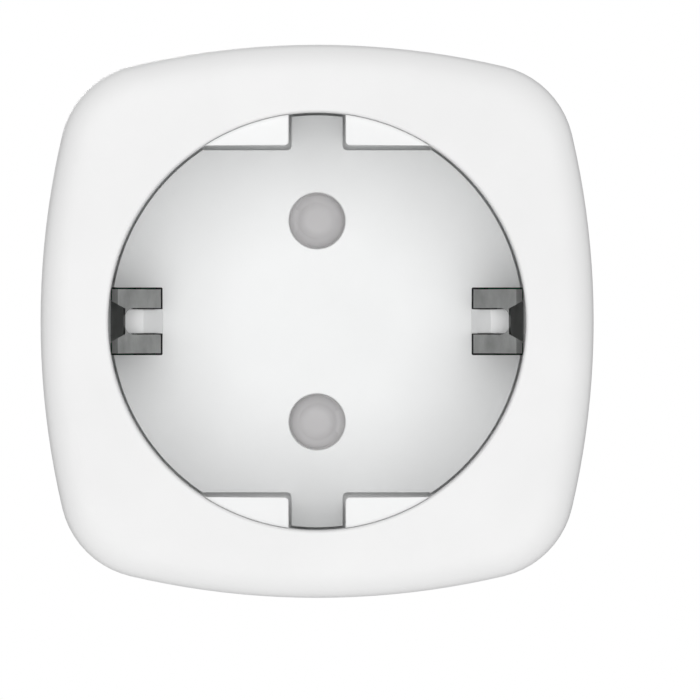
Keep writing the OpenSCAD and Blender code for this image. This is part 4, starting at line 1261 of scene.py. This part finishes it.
# Moulded, stamped and soldered parts inside, whose CAD shape only needs its edges rounded:
# node, slot, rounding in millimetres, and the material's maker
INNER_PARTS = [
    ("contact_carrier", "carrier", 0.15, carrier_plastic),
    ("line_contact", "contact_metal", 0.05, copper_alloy),
    ("neutral_contact", "contact_metal", 0.05, copper_alloy),
    ("current_shunt", "contact_metal", 0.08, copper_alloy),
    ("main_board", "board", 0.06, green_board),
    ("control_board", "board", 0.06, green_board),
    ("wifi_module", "module_board", 0.05,
     lambda: circuit_board("dark_board", (0.008, 0.02, 0.035), 700.0)),
    ("wifi_shield", "shield_metal", 0.12,
     lambda: metal("tin_plate", (0.7, 0.7, 0.69), rough=(0.26, 0.4), stain=0.1)),
    ("relay", "relay_case", 0.3,
     lambda: plastic("blue_relay_plastic", (0.02, 0.09, 0.36), rough=(0.25, 0.36), coat=0.2)),
    ("transformer_core", "ferrite", 0.2, grey_ferrite),
    ("transformer_bobbin", "carrier", 0.1, carrier_plastic),
    ("transformer_winding", "winding", 0.6, lambda: wound_coil("taped_winding", (0.75, 0.5, 0.05))),
    ("bulk_capacitors", "can", 0.12,
     lambda: plastic("dark_capacitor_sleeve", (0.015, 0.02, 0.06), rough=(0.2, 0.3), coat=0.3)),
    ("safety_capacitor", "film_capacitor", 0.5,
     lambda: plastic("yellow_capacitor_case", (0.62, 0.36, 0.05), rough=(0.3, 0.42), coat=0.1)),
    ("varistor", "varistor_coat", 0.3,
     lambda: plastic(
         "blue_dipped_coat", (0.03, 0.1, 0.34), rough=(0.2, 0.3), grain=1500.0, depth=0.4, coat=0.4)),
    ("fuse_resistor", "resistor_body", 0.25,
     lambda: plastic("green_resistor_coat", (0.06, 0.2, 0.11), rough=(0.4, 0.5), grain=2600.0, depth=0.35)),
    ("filter_inductor", "ferrite", 0.15, grey_ferrite),
    ("bridge_rectifier", "chip", 0.08, chip_epoxy),
    ("metering_chip", "chip", 0.08, chip_epoxy),
    ("regulator", "chip", 0.08, chip_epoxy),
    ("board_header", "chip", 0.02, chip_epoxy),
    ("tact_switch", "switch_case", 0.15, switch_plastic),
    ("status_led", "led", 0.1, lambda: plastic("pale_lamp_epoxy", (0.8, 0.78, 0.6), rough=(0.2, 0.3))),
]


class SMARTPLUG_OT_inner_parts(bpy.types.Operator):
    """Rounds the edges of the parts inside and gives them their materials"""

    bl_idname = "smartplug.inner_parts"
    bl_label = "Inner parts"

    def execute(self, context):
        for node, slot, rounding, maker in INNER_PARTS:
            softened_node(node, rounding * MM, maker())
        spring = frame["nodes"]["shutter_spring"]
        spring.data.materials.clear()
        spring.data.materials.append(metal("spring_wire", (0.6, 0.6, 0.6), rough=(0.15, 0.28), lines=300.0))
        return {"FINISHED"}


class SMARTPLUG_OT_stage(bpy.types.Operator):
    """Sets the floor, the lights, the surroundings and the camera"""

    bl_idname = "smartplug.stage"
    bl_label = "Stage"

    def execute(self, context):
        scene = bpy.context.scene
        scene.view_settings.view_transform = "Standard"
        self.floor()
        self.world(scene)
        self.lamp("front_light", (0.0, -1.7, 0.02), 2.3, 26.5)
        self.lamp("top_light", (0.25, 0.1, 1.3), 0.9, 2.4)
        self.lamp("back_light", (-0.5, 1.3, 0.6), 0.9, 8.0)
        self.camera(scene)
        return {"FINISHED"}

    def floor(self):
        bm = bmesh.new()
        bmesh.ops.create_grid(bm, x_segments=2, y_segments=2, size=1.0)
        bm.transform(Matrix.Translation((0, 0.3, CAD_BOX[0].z - 0.6)) @ Matrix.Scale(1.1, 4))
        floor = as_object("floor", bm)
        matte = Finish("pale_floor")
        grain = matte.pattern(moulded_skin(), Grain_Scale=60.0, Mottle_Scale=3.0)
        tone = blend_colour(matte.tree, grain["Mottle"], (0.86, 0.86, 0.86), (0.84, 0.84, 0.84))
        matte.feed("Base Color", tone)
        matte.set(Roughness=0.9)
        floor.data.materials.append(matte.material)

    def world(self, scene):
        world = bpy.data.worlds.new("studio")
        world.use_nodes = True
        scene.world = world
        tree = world.node_tree
        tree.nodes.clear()
        seen = tree.nodes.new("ShaderNodeBackground")
        seen.inputs["Color"].default_value = (1, 1, 1, 1)
        seen.inputs["Strength"].default_value = 1.0
        fill = tree.nodes.new("ShaderNodeBackground")
        fill.inputs["Color"].default_value = (1, 1, 1, 1)
        fill.inputs["Strength"].default_value = 0.34
        path = tree.nodes.new("ShaderNodeLightPath")
        mix = tree.nodes.new("ShaderNodeMixShader")
        out = tree.nodes.new("ShaderNodeOutputWorld")
        link(tree, path.outputs["Is Camera Ray"], mix.inputs[0])
        link(tree, fill.outputs[0], mix.inputs[1])
        link(tree, seen.outputs[0], mix.inputs[2])
        link(tree, mix.outputs[0], out.inputs["Surface"])

    def lamp(self, name, place, size, watts):
        data = bpy.data.lights.new(name, "AREA")
        data.shape = "DISK"
        data.size = size
        data.energy = watts
        lamp = bpy.data.objects.new(name, data)
        lamp.location = place
        aim = Vector((0, (CAD_BOX[0].y + CAD_BOX[1].y) / 2, 0)) - Vector(place)
        lamp.rotation_euler = aim.to_track_quat("-Z", "Y").to_euler()
        lamp.visible_camera = False
        bpy.context.scene.collection.objects.link(lamp)

    def camera(self, scene):
        data = bpy.data.cameras.new("camera")
        data.sensor_width = 36
        data.lens = 679
        data.shift_x = 0.047
        data.shift_y = -0.041
        camera = bpy.data.objects.new("camera", data)
        camera.location = (0, CAD_BOX[0].y - 1.23, 0)
        camera.rotation_euler = (math.pi / 2, 0, 0)
        scene.collection.objects.link(camera)
        scene.camera = camera


OPERATORS = [
    SMARTPLUG_OT_stage,
    SMARTPLUG_OT_front_shell,
    SMARTPLUG_OT_socket_insert,
    SMARTPLUG_OT_shutter,
    SMARTPLUG_OT_earth_metal,
    SMARTPLUG_OT_rear_housing,
    SMARTPLUG_OT_pins,
    SMARTPLUG_OT_screws,
    SMARTPLUG_OT_button,
    SMARTPLUG_OT_inner_parts,
]


class SMARTPLUG_PT_panel(bpy.types.Panel):
    """Lists the steps that build the plug"""

    bl_idname = "SMARTPLUG_PT_panel"
    bl_label = "Smart Plug"
    bl_space_type = "VIEW_3D"
    bl_region_type = "UI"
    bl_category = "Smart Plug"

    def draw(self, context):
        for step in OPERATORS:
            self.layout.operator(step.bl_idname)
        for settings in (context.scene.plug_sizes, context.scene.plug_finish):
            column = self.layout.column()
            for label in settings.__annotations__:
                column.prop(settings, label)


CLASSES = [PlugSizes, PlugFinish, *OPERATORS, SMARTPLUG_PT_panel]


def register():
    for cls in CLASSES:
        bpy.utils.register_class(cls)
    bpy.types.Scene.plug_sizes = PointerProperty(type=PlugSizes)
    bpy.types.Scene.plug_finish = PointerProperty(type=PlugFinish)


def unregister():
    del bpy.types.Scene.plug_finish
    del bpy.types.Scene.plug_sizes
    for cls in reversed(CLASSES):
        bpy.utils.unregister_class(cls)


def main():
    register()
    for step in OPERATORS:
        family, name = step.bl_idname.split(".")
        getattr(getattr(bpy.ops, family), name)()


if __name__ == "__main__":
    main()
